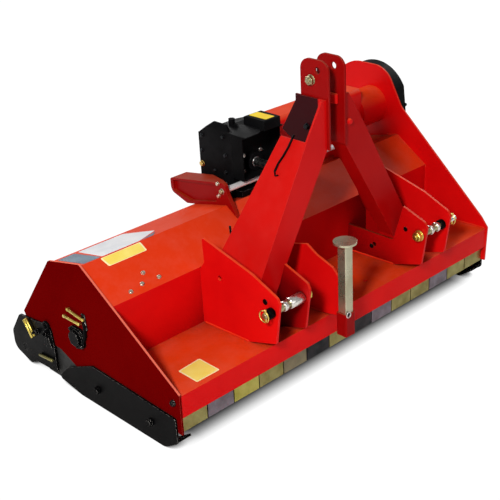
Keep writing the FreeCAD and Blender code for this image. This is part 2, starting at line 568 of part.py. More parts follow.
leg_depth = s.riser_y - s.seat_fit - s.leg_y
for side, mirror in (("left", -1), ("right", 1)):
    leg = Piece(f"mast_leg_{side}")
    front = leg.sketch("XZ_Plane", mirrored(leg_outline(0, 0), mirror), offset=-s.leg_y)
    leg.pad(front, leg_depth, reverse=True)
    channel = mirrored(leg_outline(s.leg_t, s.leg_t, 1), mirror)
    leg.pocket(leg.sketch("XZ_Plane", channel, offset=-s.leg_y - s.leg_t), leg_depth)
    inner_strip = [(leg_in_top - 1, leg_bend_z), (leg_in_foot - 1, s.leg_knee_z),
                   (leg_in_foot - 1, s.leg_foot_z - 1), (leg_in_foot + s.leg_t + 2, s.leg_foot_z - 1),
                   (leg_in_foot + s.leg_t + 2, s.leg_knee_z), (leg_in_top + s.leg_t + 2, leg_bend_z)]
    inner_edge_y = s.leg_y + s.leg_inner_depth
    leg.pocket(leg.sketch("XZ_Plane", mirrored(inner_strip, mirror), offset=-inner_edge_y), leg_depth)
    open_top = [(leg_in_top + s.leg_t, s.leg_top_z + 1), (leg_in_top + s.leg_t, leg_open_z),
                (leg_out_top + s.leg_t, leg_open_z), (leg_out_top + s.leg_t, s.leg_top_z + 1)]
    leg.pocket(leg.sketch("XZ_Plane", mirrored(open_top, mirror), offset=-s.leg_y - s.leg_t), leg_depth)
    behind = [(s.leg_rear_y, s.leg_top_z + 5), (s.leg_rear_y, s.leg_top_z - s.leg_waist_drop),
              (s.riser_y - s.seat_fit, s.riser_z), (s.riser_y + 10, s.riser_z),
              (s.riser_y + 10, s.leg_top_z + 5)]
    trim = leg.sketch("YZ_Plane", behind, offset=s.hitch_x)
    leg.pocket(trim, plate_face, reverse=mirror > 0)
    gusset = [(leg_in_top, leg_bend_z), (leg_in_top + s.leg_t, leg_bend_z),
              (leg_in_top + s.leg_t, s.leg_top_z), (leg_in_top, s.leg_top_z)]
    gusset_sketch = leg.sketch("XZ_Plane", mirrored(gusset, mirror), offset=-s.leg_y)
    leg.pad(gusset_sketch, s.gusset_y - s.leg_y, reverse=True)
    outside = [(s.gusset_top_y, s.leg_top_z + 5), (s.gusset_top_y, s.leg_top_z - s.leg_t * 3),
               (s.gusset_y, s.leg_top_z - s.gusset_drop), (s.gusset_top_y, leg_bend_z - 2),
               (s.riser_y + 10, leg_bend_z - 2), (s.riser_y + 10, s.leg_top_z + 5)]
    leg.pocket(leg.sketch("YZ_Plane", outside, offset=s.hitch_x), plate_face, reverse=mirror > 0)
    leg.done()

# Mast ears with the open top link hole, and the spacer bolt below it.
ear_rear_y = s.ear_front_y + s.ear_depth
ear_outline = [(s.ear_front_y, ear_foot_z), (s.ear_front_y, ear_top_z, s.ear_radius),
               (ear_rear_y, ear_top_z, s.ear_radius), (ear_rear_y, s.leg_top_z - 8),
               (s.leg_y + s.leg_inner_depth, s.leg_top_z - 60), (s.leg_y + s.leg_inner_depth, ear_foot_z)]
ear_holes = [(s.link_y, link_z, s.link_hole_d / 2),
             (s.mast_bolt_y, mast_bolt_z, s.mast_bolt_d / 2 + s.seat_fit)]
side_plate("mast_ear_left", ear_outline, "Sizes.ear_t", s.hitch_x - ear_outer, ear_holes)
side_plate("mast_ear_right", ear_outline, "Sizes.ear_t", s.hitch_x + s.ear_gap / 2, ear_holes)
cross_rod("mast_bolt", "Sizes.mast_bolt_d", s.hitch_x - ear_outer - 14, s.hitch_x + ear_outer + 14,
          s.mast_bolt_y, mast_bolt_z)

# Gearbox on a saddle that follows the deck. Its front view is drawn from its own left face.
saddle_rear = s.gearbox_y + s.gearbox_depth - 14
saddle_top = s.gearbox_foot_z - s.seat_fit
saddle_outline = [(s.saddle_front_y, top_face_z(s.saddle_front_y)), (s.crown_y, s.crown_z),
                  (saddle_rear, top_face_z(saddle_rear)), (saddle_rear, saddle_top),
                  (s.saddle_front_y, saddle_top)]
side_plate("gearbox_saddle", saddle_outline, "Sizes.gearbox_w", gearbox_x)


def roofed_outline(foot_z, inset=0.0):
    """Front view of the gearbox and its guard: side walls under a roof with a flat ridge."""
    ridge = s.gearbox_ridge_w / 2
    middle = s.gearbox_w / 2
    low, high = s.gearbox_eaves_z - inset, s.gearbox_top_z - inset
    return [(inset, foot_z), (inset, low), (middle - ridge, high), (middle + ridge, high),
            (s.gearbox_w - inset, low), (s.gearbox_w - inset, foot_z)]


gearbox = Piece("gearbox")
gearbox_rear = s.gearbox_y + s.gearbox_depth
case = gearbox.sketch("XZ_Plane", roofed_outline(s.gearbox_foot_z), offset=-gearbox_rear)
gearbox.pad(case, "Sizes.gearbox_depth")
bevel = [(gearbox_rear - s.gearbox_slope_y, s.gearbox_top_z + 1),
         (gearbox_rear + 1, s.gearbox_top_z - s.gearbox_slope_z), (gearbox_rear + 1, s.gearbox_top_z + 1)]
gearbox.pocket(gearbox.sketch("YZ_Plane", bevel), "Sizes.gearbox_w", reverse=True)
cheek = [(s.gearbox_y + 16, s.gearbox_foot_z + 40, 10), (gearbox_rear - 2, s.gearbox_foot_z + 40, 10),
         (gearbox_rear - 2, s.gearbox_top_z - s.gearbox_slope_z, 8), (s.cheek_rear_y, s.gearbox_top_z, 10),
         (s.cheek_front_y, s.gearbox_top_z, 8), (s.gearbox_y + 16, s.gearbox_eaves_z, 6)]
gearbox.pad(gearbox.sketch("YZ_Plane", cheek), "Sizes.cheek_t")
cheek_edge = [(-1, s.gearbox_eaves_z), (s.cheek_t * 0.8, s.gearbox_top_z + 1), (-1, s.gearbox_top_z + 1)]
cheek_bevel = gearbox.sketch("XZ_Plane", cheek_edge, offset=-gearbox_rear)
gearbox.pocket(cheek_bevel, "Sizes.gearbox_depth", reverse=True)
rail = [(-s.foot_rail_w, s.gearbox_foot_z, 4), (s.gearbox_w + s.foot_rail_w, s.gearbox_foot_z, 4),
        (s.gearbox_w + s.foot_rail_w, s.gearbox_foot_z + s.foot_rail_t, 4),
        (-s.foot_rail_w, s.gearbox_foot_z + s.foot_rail_t, 4)]
gearbox.pad(gearbox.sketch("XZ_Plane", rail, offset=-gearbox_rear + 16), "Sizes.gearbox_depth - 32")
rib_step = (s.gearbox_w - 60) / (s.rib_count - 1)
rib_outline = [(gearbox_rear - 2, s.gearbox_foot_z + 20),
               (gearbox_rear + s.rib_rise, s.gearbox_foot_z + 30, 8),
               (gearbox_rear + s.rib_rise, s.gearbox_top_z - s.gearbox_slope_z - 40, 10),
               (gearbox_rear - 2, s.gearbox_top_z - s.gearbox_slope_z - 10)]
for i in range(int(s.rib_count)):
    rib = gearbox.sketch("YZ_Plane", rib_outline, offset=30 + i * rib_step - s.rib_t / 2)
    gearbox.pad(rib, "Sizes.rib_t")
collar = gearbox.sketch("XZ_Plane", [], [(s.gearbox_w / 2, s.pulley_z, s.collar_d / 2)], offset=-s.gearbox_y)
gearbox.pad(collar, "Sizes.collar_t")
side_flange = gearbox.sketch("YZ_Plane", [], [(s.pulley_y, s.pulley_z, s.side_flange_d / 2)],
                             offset=s.gearbox_w)
gearbox.pad(side_flange, "Sizes.side_flange_t")
breather = gearbox.sketch("XY_Plane", [], [(s.cheek_t + s.breather_d, s.cheek_front_y, s.breather_d / 2)],
                          offset=s.gearbox_eaves_z - 2)
gearbox.pad(breather, "Sizes.gearbox_top_z - Sizes.gearbox_eaves_z + Sizes.breather_h")
bore = gearbox.sketch("XZ_Plane", [], [(s.gearbox_w / 2, s.pulley_z, s.stub_journal_d / 2 + s.run_fit)],
                      offset=s.collar_t - s.gearbox_y)
gearbox.pocket(bore, "Sizes.stub_bore")
gearbox.done(gearbox_x)
stub = Piece("pto_stub")
journal_rear = s.stub_bore - s.collar_t - 2 + s.gearbox_y
stub.pad(stub.sketch("XZ_Plane", [], [(0, s.pulley_z, s.stub_journal_d / 2)], offset=-journal_rear),
         "Sizes.stub_bore - 2")
stub.pad(stub.sketch("XZ_Plane", [], [(0, s.pulley_z, s.stub_d / 2)], offset=s.collar_t - s.gearbox_y),
         "Sizes.stub_length")
stub.done(s.hitch_x)

# Shaft guard: a roofed box open to the tractor, held on the gearbox's front, with a hatch on its roof.
guard = Piece("pto_guard")
guard_rear_y = s.gearbox_y - s.seat_fit
guard_depth = guard_rear_y - s.guard_visor_y
guard.pad(guard.sketch("XZ_Plane", roofed_outline(s.guard_foot_z), offset=-guard_rear_y), guard_depth)
inside = guard.sketch("XZ_Plane", roofed_outline(s.guard_foot_z + s.guard_wall, s.guard_wall),
                      offset=1 - s.guard_visor_y)
guard.pocket(inside, guard_depth - s.guard_wall + 1)
mouth = [(s.guard_visor_y - 1, s.guard_foot_z - 1), (s.guard_mouth_y, s.guard_foot_z - 1),
         (s.guard_mouth_y, s.gearbox_eaves_z - 12), (s.guard_visor_y - 1, s.gearbox_top_z - 9)]
guard.pocket(guard.sketch("YZ_Plane", mouth), "Sizes.gearbox_w", reverse=True)
hatch = [(s.hatch_front_y, s.gearbox_top_z - 4), (s.hatch_rear_y, s.gearbox_top_z - 4),
         (s.hatch_rear_y, s.gearbox_top_z + s.hatch_h, 10), (s.hatch_front_y, s.gearbox_top_z + s.hatch_h, 4)]
guard.pad(guard.sketch("YZ_Plane", hatch, offset=(s.gearbox_w - s.hatch_w) / 2), "Sizes.hatch_w")
pass_hole = guard.sketch("XZ_Plane", [], [(s.gearbox_w / 2, s.pulley_z, s.collar_d / 2 + 2)],
                         offset=10 - guard_rear_y)
guard.pocket(pass_hole, 30)
guard.done(gearbox_x)

# Shaft tunnel from the gearbox to the belt side, and the bearing hub at its end.
tunnel_rear_y = tunnel_front_y + s.tunnel_depth
tunnel_outline = [(tunnel_front_y, top_face_z(tunnel_front_y)), (s.crown_y, s.crown_z),
                  (tunnel_rear_y, top_face_z(tunnel_rear_y)),
                  (tunnel_rear_y, s.tunnel_top_z, s.tunnel_radius),
                  (tunnel_front_y, s.tunnel_top_z, s.tunnel_radius)]
side_plate("shaft_tunnel", tunnel_outline, s.tunnel_end_x - tunnel_start_x, tunnel_start_x)
cross_rod("bearing_hub", "Sizes.hub_d", s.tunnel_end_x + s.seat_fit, plate_inner - s.seat_fit,
          s.pulley_y, s.pulley_z)

# Guide bar over the top face. Its left bracket is a pressed tray that lies along the top face.
bar_fit = (s.bar_y, s.bar_z, s.bar_d / 2 + s.seat_fit)
top_slope = (s.crown_z - s.crest_z) / (s.crown_y - s.crest_y)


def along_top(y, rise):
    """A corner of the tray, at a height above the line of the top face."""
    return (y, s.crest_z + top_slope * (y - s.crest_y) + rise)


tray_overhang = s.tray_rear_y - s.crown_y
tray_outline = [(s.tray_front_y, top_face_z(s.tray_front_y)), (s.crest_y, s.crest_z),
                (s.crown_y, s.crown_z), along_top(s.crown_y + tray_overhang / 3, 2) + (30,),
                along_top(s.tray_rear_y, s.tray_rear_rise / 2) + (30,),
                along_top(s.tray_rear_y, s.tray_rear_rise) + (10,),
                along_top(s.crest_y + 5, s.tray_rise) + (18,),
                along_top(s.crest_y - 10, s.tray_rise * 0.45) + (60,)]
recess_front_y = s.crest_y + 55
tray_recess = [along_top(recess_front_y, 14) + (8,), along_top(s.crown_y + 20, 14) + (40,),
               along_top(s.tray_rear_y - 18, s.tray_rear_rise / 2) + (12,),
               along_top(s.tray_rear_y - 16, s.tray_rear_rise - 10) + (6,),
               along_top(recess_front_y, s.tray_rise - 8) + (8,)]
tray_hollow = [along_top(recess_front_y - 15, -60), along_top(s.tray_rear_y - 18, -60),
               along_top(s.tray_rear_y - 16, s.tray_rear_rise - s.tray_wall),
               along_top(recess_front_y - 15, s.tray_rise - s.tray_wall)]
tray_skin = s.tray_recess + s.tray_wall
tray = Piece("bar_bracket_left")
tray.pad(tray.sketch("YZ_Plane", tray_outline), "Sizes.tray_w")
tray.pocket(tray.sketch("YZ_Plane", tray_recess), "Sizes.tray_recess", reverse=True)
tray.pocket(tray.sketch("YZ_Plane", tray_hollow, offset=tray_skin), "Sizes.tray_w", reverse=True)
side_cut = [(s.tray_w + 1, s.tray_front_y - 1), (s.tray_w + 1, s.crown_y - 30), (s.tray_w, s.crown_y - 30),
            (s.tray_w * 0.42, recess_front_y - 8), (tray_skin, s.crest_y + 18),
            (tray_skin, s.tray_front_y - 1)]
tray.pocket(tray.sketch("XY_Plane", side_cut, offset=s.gearbox_top_z), "Sizes.gearbox_top_z")
tray.pocket(tray.sketch("YZ_Plane", [], [bar_fit]), "Sizes.tray_w", reverse=True)
tray.done(s.bar_start_x)
bracket_edge_y = s.crest_y + 2
short_bracket = [(bracket_edge_y, top_face_z(bracket_edge_y)), (s.bar_y + 22, top_face_z(s.bar_y + 22)),
                 (s.bar_y + 22, s.bar_z + 20, 12), (bracket_edge_y, s.bar_z + 20, 12)]
side_plate("bar_bracket_right", short_bracket, 20, s.bar_end_x - 26, [bar_fit])
cross_rod("guide_bar", "Sizes.bar_d", s.bar_start_x, s.bar_end_x, s.bar_y, s.bar_z)

# Parking stand, stored upside down in its socket on the stand plate.
corner_signs = ((-1, -1), (1, -1), (1, 1), (-1, 1))
stand_plate_x = s.stand_x - s.clevis_t / 2
half_stand = s.stand_w / 2
socket_half = half_stand + s.socket_wall + s.run_fit
plate_front = s.stand_y + socket_half
stand_plate = [(s.riser_y - s.seat_fit, -s.shelf_fall * (s.riser_y - s.seat_fit) / s.riser_y),
               (s.riser_y - s.seat_fit, s.riser_z - 20), (110, 262), (60, 232, 20), (-18, 205, 14),
               (plate_front, 170, 10), (plate_front, 20), (-40, 12), (40, -s.shelf_fall * 40 / s.riser_y)]
side_plate("stand_plate", stand_plate, "Sizes.clevis_t", stand_plate_x)
socket = Piece("stand_socket")
ring = [(s.stand_x + u * socket_half, s.stand_y + v * socket_half, 6) for u, v in corner_signs]
socket.pad(socket.sketch("XY_Plane", ring, offset=s.socket_top_z - s.socket_h), "Sizes.socket_h")
hole_half = half_stand + s.run_fit
square = [(s.stand_x + u * hole_half, s.stand_y + v * hole_half) for u, v in corner_signs]
socket.pocket(socket.sketch("XY_Plane", square, offset=s.socket_top_z), "Sizes.socket_h")
socket.done()
stand = Piece("parking_stand")
tube = [(s.stand_x + u * half_stand, s.stand_y + v * half_stand, 4) for u, v in corner_signs]
stand.pad(stand.sketch("XY_Plane", tube, offset=s.stand_foot_z), "Sizes.stand_top_z - Sizes.stand_foot_z")
core_half = half_stand - s.stand_wall
core = [(s.stand_x + u * core_half, s.stand_y + v * core_half) for u, v in corner_signs]
stand.pocket(stand.sketch("XY_Plane", core, offset=s.stand_top_z), "Sizes.stand_top_z - Sizes.stand_foot_z")
disc = stand.sketch("XY_Plane", [], [(s.stand_x, s.stand_y, s.stand_disc_d / 2)], offset=s.stand_top_z)
stand.pad(disc, "Sizes.stand_disc_t")
stand.done()

# Rubber strip behind the rotor and the counter blade inside the riser.
slope_run, slope_fall = s.tail_y - s.crown_y, s.crown_z - s.tail_z
slope_length = math.hypot(slope_run, slope_fall)
along = (slope_run / slope_length, -slope_fall / slope_length)
strip_start = (s.tail_y + along[1] * (s.sheet_t + s.seat_fit), s.tail_z - along[0] * (s.sheet_t + s.seat_fit))
strip_reach = [-s.strip_drop / 3, s.strip_drop]
strip = [(strip_start[0] + along[0] * reach + along[1] * depth,
          strip_start[1] + along[1] * reach - along[0] * depth)
         for reach, depth in ((strip_reach[0], 0), (strip_reach[1], 0), (strip_reach[1], s.strip_t),
                              (strip_reach[0], s.strip_t))]
side_plate("rear_strip", strip, 2 * (plate_inner - s.seat_fit), -plate_inner + s.seat_fit)
blade_y = s.riser_y + s.sheet_t + s.seat_fit
blade = [(blade_y, s.blade_z - s.blade_h / 2), (blade_y + s.blade_t, s.blade_z - s.blade_h / 2),
         (blade_y + s.blade_t, s.blade_z + s.blade_h / 2), (blade_y, s.blade_z + s.blade_h / 2)]
side_plate("counter_blade", blade, 2 * (plate_inner - s.seat_fit), -plate_inner + s.seat_fit)

doc.recompute()
faults = [f"{item.Label}: {item.State}" for item in doc.Objects
          if "Invalid" in item.State or "Error" in item.State]
for item in sub_parts:
    if item.Shape.isNull() or not item.Shape.isValid():
        faults.append(f"{item.Label}: shape")
if faults:
    raise SystemExit("failed: " + "; ".join(faults))

os.makedirs("parts", exist_ok=True)
for item in sub_parts:
    item.Shape.exportStep(f"parts/{item.Label}.step")
print(len(sub_parts), "sub-parts written")
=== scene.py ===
import math

import bmesh
import bpy
from mathutils import Matrix, Vector


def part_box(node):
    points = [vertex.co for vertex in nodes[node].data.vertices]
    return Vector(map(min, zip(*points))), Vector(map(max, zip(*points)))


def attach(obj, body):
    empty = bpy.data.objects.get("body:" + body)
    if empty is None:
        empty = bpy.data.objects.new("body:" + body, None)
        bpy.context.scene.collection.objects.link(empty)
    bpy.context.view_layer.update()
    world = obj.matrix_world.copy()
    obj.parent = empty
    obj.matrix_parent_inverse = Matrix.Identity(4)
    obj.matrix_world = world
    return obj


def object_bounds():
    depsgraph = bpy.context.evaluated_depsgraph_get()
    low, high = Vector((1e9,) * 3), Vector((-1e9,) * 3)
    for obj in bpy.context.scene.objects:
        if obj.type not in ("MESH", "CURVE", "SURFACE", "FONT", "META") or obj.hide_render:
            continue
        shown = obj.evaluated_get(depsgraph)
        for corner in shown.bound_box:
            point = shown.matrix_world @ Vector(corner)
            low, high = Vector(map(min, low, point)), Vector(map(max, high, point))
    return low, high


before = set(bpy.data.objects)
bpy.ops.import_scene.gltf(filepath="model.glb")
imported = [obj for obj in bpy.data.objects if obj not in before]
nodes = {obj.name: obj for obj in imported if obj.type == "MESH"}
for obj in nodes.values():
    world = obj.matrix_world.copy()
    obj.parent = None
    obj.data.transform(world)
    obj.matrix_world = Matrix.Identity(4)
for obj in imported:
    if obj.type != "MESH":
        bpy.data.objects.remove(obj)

cadLow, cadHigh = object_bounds()

# Places are millimetres from the middle of the front lip's top edge: x to the belt side, y back, z up.
# The shelf falls to the riser, the slope climbs to the crest, the top falls to the crown, then the tail.
deck = {"riserY": 338, "shelfDrop": 12, "riserTop": 218, "crestY": 501, "crestZ": 324,
        "crownY": 693, "crownZ": 278, "tailY": 925, "tailZ": -6}
# How far out the end plates, the skids, the left bearing and the belt cover reach.
faces = {"plate": 885, "skid": 893, "bearing": 897, "cover": 955}
hitch = {"x": 19, "halfSpacing": 412.5, "halfGap": 70, "plateT": 10, "pinY": -38, "pinZ": 165}
# Both shafts lie along x, so their places are y and z.
rotorAxis = (560, 20)
crossShaft = (688, 440)
sides = {"left": -1, "right": 1}
rightWay, backWay, upWay = (1, 0, 0), (0, 1, 0), (0, 0, 1)

deckLow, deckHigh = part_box("deck_shell")
lipMiddle = Vector(((deckLow.x + deckHigh.x) / 2, deckLow.y, deckHigh.z - deck["crestZ"] / 1000))


def at(x, y, z):
    return lipMiddle + Vector((x, y, z)) / 1000


def shelfZ(y):
    return -deck["shelfDrop"] * y / deck["riserY"]


def slopeZ(y):
    rise, run = deck["crestZ"] - deck["riserTop"], deck["crestY"] - deck["riserY"]
    return deck["riserTop"] + (y - deck["riserY"]) * rise / run


def topZ(y):
    fall, run = deck["crestZ"] - deck["crownZ"], deck["crownY"] - deck["crestY"]
    return deck["crestZ"] - (y - deck["crestY"]) * fall / run


def feed(tree, socket, value):
    # A socket takes either a link from another socket or a value of its own.
    if isinstance(value, bpy.types.NodeSocket):
        tree.links.new(value, socket)
    else:
        socket.default_value = value


def addNode(tree, kind, inputs=None, **settings):
    node = tree.nodes.new(kind)
    for name, value in settings.items():
        setattr(node, name, value)
    for name, value in (inputs or {}).items():
        feed(tree, node.inputs[name], value)
    return node


def mathNode(tree, operation, first, second=0.5, clamp=False):
    node = addNode(tree, "ShaderNodeMath", operation=operation, use_clamp=clamp)
    feed(tree, node.inputs[0], first)
    feed(tree, node.inputs[1], second)
    return node.outputs[0]


def mixColor(tree, mask, first, second):
    node = addNode(tree, "ShaderNodeMix", data_type="RGBA")
    # The places of the colour sockets among the node's others.
    factor, colorA, colorB, colorOut = 0, 6, 7, 2
    for index, value in ((factor, mask), (colorA, first), (colorB, second)):
        feed(tree, node.inputs[index], value)
    return node.outputs[colorOut]


def remap(tree, value, low, high, newLow=0.0, newHigh=1.0):
    node = addNode(tree, "ShaderNodeMapRange", {"Value": value, "From Min": low, "From Max": high,
                                                "To Min": newLow, "To Max": newHigh})
    return node.outputs[0]


def noiseAt(tree, scale, detail=3.0, roughness=0.5):
    place = addNode(tree, "ShaderNodeTexCoord").outputs["Object"]
    node = addNode(tree, "ShaderNodeTexNoise",
                   {"Vector": place, "Scale": scale, "Detail": detail, "Roughness": roughness})
    return node.outputs["Fac"]


def normalUp(tree):
    normal = addNode(tree, "ShaderNodeNewGeometry").outputs["Normal"]
    return addNode(tree, "ShaderNodeSeparateXYZ", {"Vector": normal}).outputs["Z"]


def newGroup(name, inputs, outputs):
    kinds = {"float": "NodeSocketFloat", "color": "NodeSocketColor", "vector": "NodeSocketVector"}
    tree = bpy.data.node_groups.new(name, "ShaderNodeTree")
    for label, kind, value in inputs:
        socket = tree.interface.new_socket(label, in_out="INPUT", socket_type=kinds[kind])
        socket.default_value = value
    for label, kind in outputs:
        tree.interface.new_socket(label, in_out="OUTPUT", socket_type=kinds[kind])
    return tree, tree.nodes.new("NodeGroupInput").outputs, tree.nodes.new("NodeGroupOutput").inputs


def useGroup(tree, group, inputs):
    return addNode(tree, "ShaderNodeGroup", inputs, node_tree=group).outputs


def rgb(red, green, blue):
    return (red, green, blue, 1.0)


# Rounded edges for the folded and cut sheet, and a mask of where the edge is.
softEdge, given, result = newGroup("softEdge", [("Radius", "float", 0.002)],
                                   [("Normal", "vector"), ("Edge", "float")])
bevel = addNode(softEdge, "ShaderNodeBevel", {"Radius": given["Radius"]}, samples=4)
sameWay = addNode(softEdge, "ShaderNodeVectorMath", operation="DOT_PRODUCT")
feed(softEdge, sameWay.inputs[0], bevel.outputs[0])
feed(softEdge, sameWay.inputs[1], addNode(softEdge, "ShaderNodeNewGeometry").outputs["Normal"])
flatShare, edgeShare = 0.995, 0.86
feed(softEdge, result["Normal"], bevel.outputs[0])
feed(softEdge, result["Edge"], remap(softEdge, sameWay.outputs["Value"], flatShare, edgeShare))

# Two tones of one colour in broad soft patches.
toneDrift, given, result = newGroup("toneDrift", [("Deep", "color", rgb(0.5, 0.5, 0.5)),
                                                  ("Bright", "color", rgb(0.6, 0.6, 0.6)),
                                                  ("Scale", "float", 4.0)], [("Color", "color")])
patches = remap(toneDrift, noiseAt(toneDrift, given["Scale"], 4.0), 0.36, 0.64)
feed(toneDrift, result["Color"], mixColor(toneDrift, patches, given["Deep"], given["Bright"]))

# Dust that settles on what faces up.
settledDust, given, result = newGroup("settledDust", [("Amount", "float", 0.3), ("Scale", "float", 14.0)],
                                      [("Mask", "float")])
flatEnough = remap(settledDust, normalUp(settledDust), 0.35, 0.95)
speckle = remap(settledDust, noiseAt(settledDust, given["Scale"], 9.0, 0.68), 0.42, 0.72)
lying = mathNode(settledDust, "MULTIPLY", flatEnough, speckle)
feed(settledDust, result["Mask"], mathNode(settledDust, "MULTIPLY", lying, given["Amount"], True))

# How far a surface faces up, from the given share on.
facing, given, result = newGroup("facing", [("Sharpness", "float", 0.6)], [("Up", "float")])
feed(facing, result["Up"], remap(facing, normalUp(facing), given["Sharpness"], 1.0))

# Painted shade that gathers where the sheet metal stands close together.
recess, given, result = newGroup("recess", [("Reach", "float", 0.3), ("Open", "float", 0.6),
                                            ("Depth", "float", 0.5)], [("Mask", "float")])
openness = addNode(recess, "ShaderNodeAmbientOcclusion", {"Distance": given["Reach"]}, samples=6)
shutShare = 0.15
shut = remap(recess, openness.outputs["AO"], given["Open"], shutShare)
feed(recess, result["Mask"], mathNode(recess, "MULTIPLY", shut, given["Depth"], True))

# Worn spots along the edges, broken up by noise.
edgeWear, given, result = newGroup("edgeWear", [("Edge", "float", 0.0), ("Amount", "float", 0.5),
                                                ("Scale", "float", 60.0)], [("Mask", "float")])
chips = mathNode(edgeWear, "MULTIPLY", given["Edge"], noiseAt(edgeWear, given["Scale"], 6.0, 0.7))
threshold = mathNode(edgeWear, "MULTIPLY", mathNode(edgeWear, "SUBTRACT", 1.0, given["Amount"]), 0.5)
chipSharpness = 12.0
chipped = mathNode(edgeWear, "SUBTRACT", chips, threshold)
feed(edgeWear, result["Mask"], mathNode(edgeWear, "MULTIPLY", chipped, chipSharpness, True))

# Fine bumps such as orange peel, casting skin or moulded grain, over a slow waviness.
surfaceSkin, given, result = newGroup(
    "surfaceSkin", [("Grain Scale", "float", 700.0), ("Grain Depth", "float", 0.00005),
                    ("Wave Scale", "float", 7.0), ("Wave Depth", "float", 0.0006),
                    ("Normal", "vector", (0.0, 0.0, 0.0))], [("Normal", "vector")])
waves = addNode(surfaceSkin, "ShaderNodeBump", {"Height": noiseAt(surfaceSkin, given["Wave Scale"], 1.5),
                                                "Distance": given["Wave Depth"], "Normal": given["Normal"]})
grain = addNode(surfaceSkin, "ShaderNodeBump", {"Height": noiseAt(surfaceSkin, given["Grain Scale"]),
                                                "Distance": given["Grain Depth"], "Normal": waves.outputs[0]})
feed(surfaceSkin, result["Normal"], grain.outputs[0])

# A soft-edged box of the machine, in metres, that takes another colour.
zoneMask, given, result = newGroup("zoneMask", [("Low", "vector", (0.0, 0.0, 0.0)),
                                                ("High", "vector", (1.0, 1.0, 1.0)),
                                                ("Softness", "float", 0.004)], [("Mask", "float")])
zonePlace = addNode(zoneMask, "ShaderNodeNewGeometry").outputs["Position"]
zoneInside = 1.0
for ahead, behind in ((zonePlace, given["Low"]), (given["High"], zonePlace)):
    gap = addNode(zoneMask, "ShaderNodeVectorMath", operation="SUBTRACT")
    feed(zoneMask, gap.inputs[0], ahead)
    feed(zoneMask, gap.inputs[1], behind)
    gapParts = addNode(zoneMask, "ShaderNodeSeparateXYZ", {"Vector": gap.outputs[0]})
    for axis in "XYZ":
        ramp = mathNode(zoneMask, "DIVIDE", gapParts.outputs[axis], given["Softness"], True)
        zoneInside = mathNode(zoneMask, "MULTIPLY", ramp, zoneInside)
feed(zoneMask, result["Mask"], zoneInside)


def newMaterial(name, constants):
    # What is the same all over the surface is set on the shader's own sockets.
    material = bpy.data.materials.new(name)
    material.use_nodes = True
    tree = material.node_tree
    shader = tree.nodes["Principled BSDF"]
    for socket, value in constants.items():
        shader.inputs[socket].default_value = value
    return material, tree, shader


bareMetal = (0.42, 0.4, 0.38)
dustTone = rgb(0.62, 0.55, 0.5)
wearScale, dustScale, wornMetal, dustRoughness = 90.0, 16.0, 0.8, 0.5


def finish(name, look):
    # Every finish is one stack: tones, a painted top-light tone, zones, worn edges, a painted rim highlight,
    # painted recess shade, dust and skin.
    material, tree, shader = newMaterial(name, look.get("constants", {}))
    edge = useGroup(tree, softEdge, {"Radius": look["edge"]})
    color = useGroup(tree, toneDrift, {"Deep": rgb(*look["deep"]), "Bright": rgb(*look["bright"]),
                                       "Scale": look["patch"]})["Color"]
    rough = remap(tree, noiseAt(tree, look["patch"] * 3, 5.0), 0.3, 0.7, *look["rough"])
    metal = look.get("metal", 0.0)
    if "sky" in look:
        # Painted light: what faces up takes a lighter, warmer tone of its own.
        sharpness, skyTone = look["sky"]
        up = useGroup(tree, facing, {"Sharpness": sharpness})["Up"]
        color = mixColor(tree, up, color, rgb(*skyTone))
    for zone in look.get("zones", []):
        inside = useGroup(tree, zoneMask, {"Low": at(*zone["low"]), "High": at(*zone["high"]),
                                           "Softness": zone["soft"]})["Mask"]
        color = mixColor(tree, inside, color, rgb(*zone["color"]))
    if "wear" in look:
        worn = useGroup(tree, edgeWear, {"Edge": edge["Edge"], "Amount": look["wear"],
                                         "Scale": wearScale})["Mask"]
        color = mixColor(tree, worn, color, rgb(*look.get("under", bareMetal)))
        feed(tree, shader.inputs["Metallic"], mathNode(tree, "MULTIPLY", worn, wornMetal))
    if "rim" in look:
        # Painted highlight: cut edges show a lighter tone.
        amount, rimHighlight = look["rim"]
        color = mixColor(tree, mathNode(tree, "MULTIPLY", edge["Edge"], amount), color, rgb(*rimHighlight))
    if "recess" in look:
        # Painted shade in the recesses: the colour turns towards the shade tone where little around is open.
        reach, openShare, depth, shade = look["recess"]
        hidden = useGroup(tree, recess, {"Reach": reach, "Open": openShare, "Depth": depth})["Mask"]
        color = mixColor(tree, hidden, color, rgb(*shade))
    if look.get("dust"):
        dust = useGroup(tree, settledDust, {"Amount": look["dust"], "Scale": dustScale})["Mask"]
        color = mixColor(tree, dust, color, dustTone)
        rough = mathNode(tree, "ADD", rough, mathNode(tree, "MULTIPLY", dust, dustRoughness), True)
    skin = useGroup(tree, surfaceSkin, {"Grain Scale": look["grain"][0], "Grain Depth": look["grain"][1],
                                        "Wave Scale": look["wave"][0], "Wave Depth": look["wave"][1],
                                        "Normal": edge["Normal"]})
    feed(tree, shader.inputs["Base Color"], color)
    feed(tree, shader.inputs["Roughness"], rough)
    feed(tree, shader.inputs["Normal"], skin["Normal"])
    if metal:
        shader.inputs["Metallic"].default_value = metal
    return material


def gloss(specular, coat, coatRoughness=0.2):
    return {"Specular IOR Level": specular, "Coat Weight": coat, "Coat Roughness": coatRoughness}


def redFinish(name, share, **extra):
    # One sprayed red; a share under 1 makes a darker copy, painted shade for parts that look away from the
    # light.
    look = {"deep": (0.60 * share, 0.002 * share, 0.003 * share),
            "bright": (0.70 * share, 0.004 * share, 0.004 * share), "patch": 3.0, "rough": (0.34, 0.46),
            "sky": (0.25, (0.74 * share, 0.05 * share, 0.008 * share)), "edge": 0.0022,
            "rim": (0.3, (0.9, 0.07, 0.05)), "dust": 0.04, "grain": (900.0, 0.00003),
            "wave": (5.0, 0.0012), "constants": gloss(0.07, 0.04, 0.18)}
    look.update(extra)
    return finish(name, look)


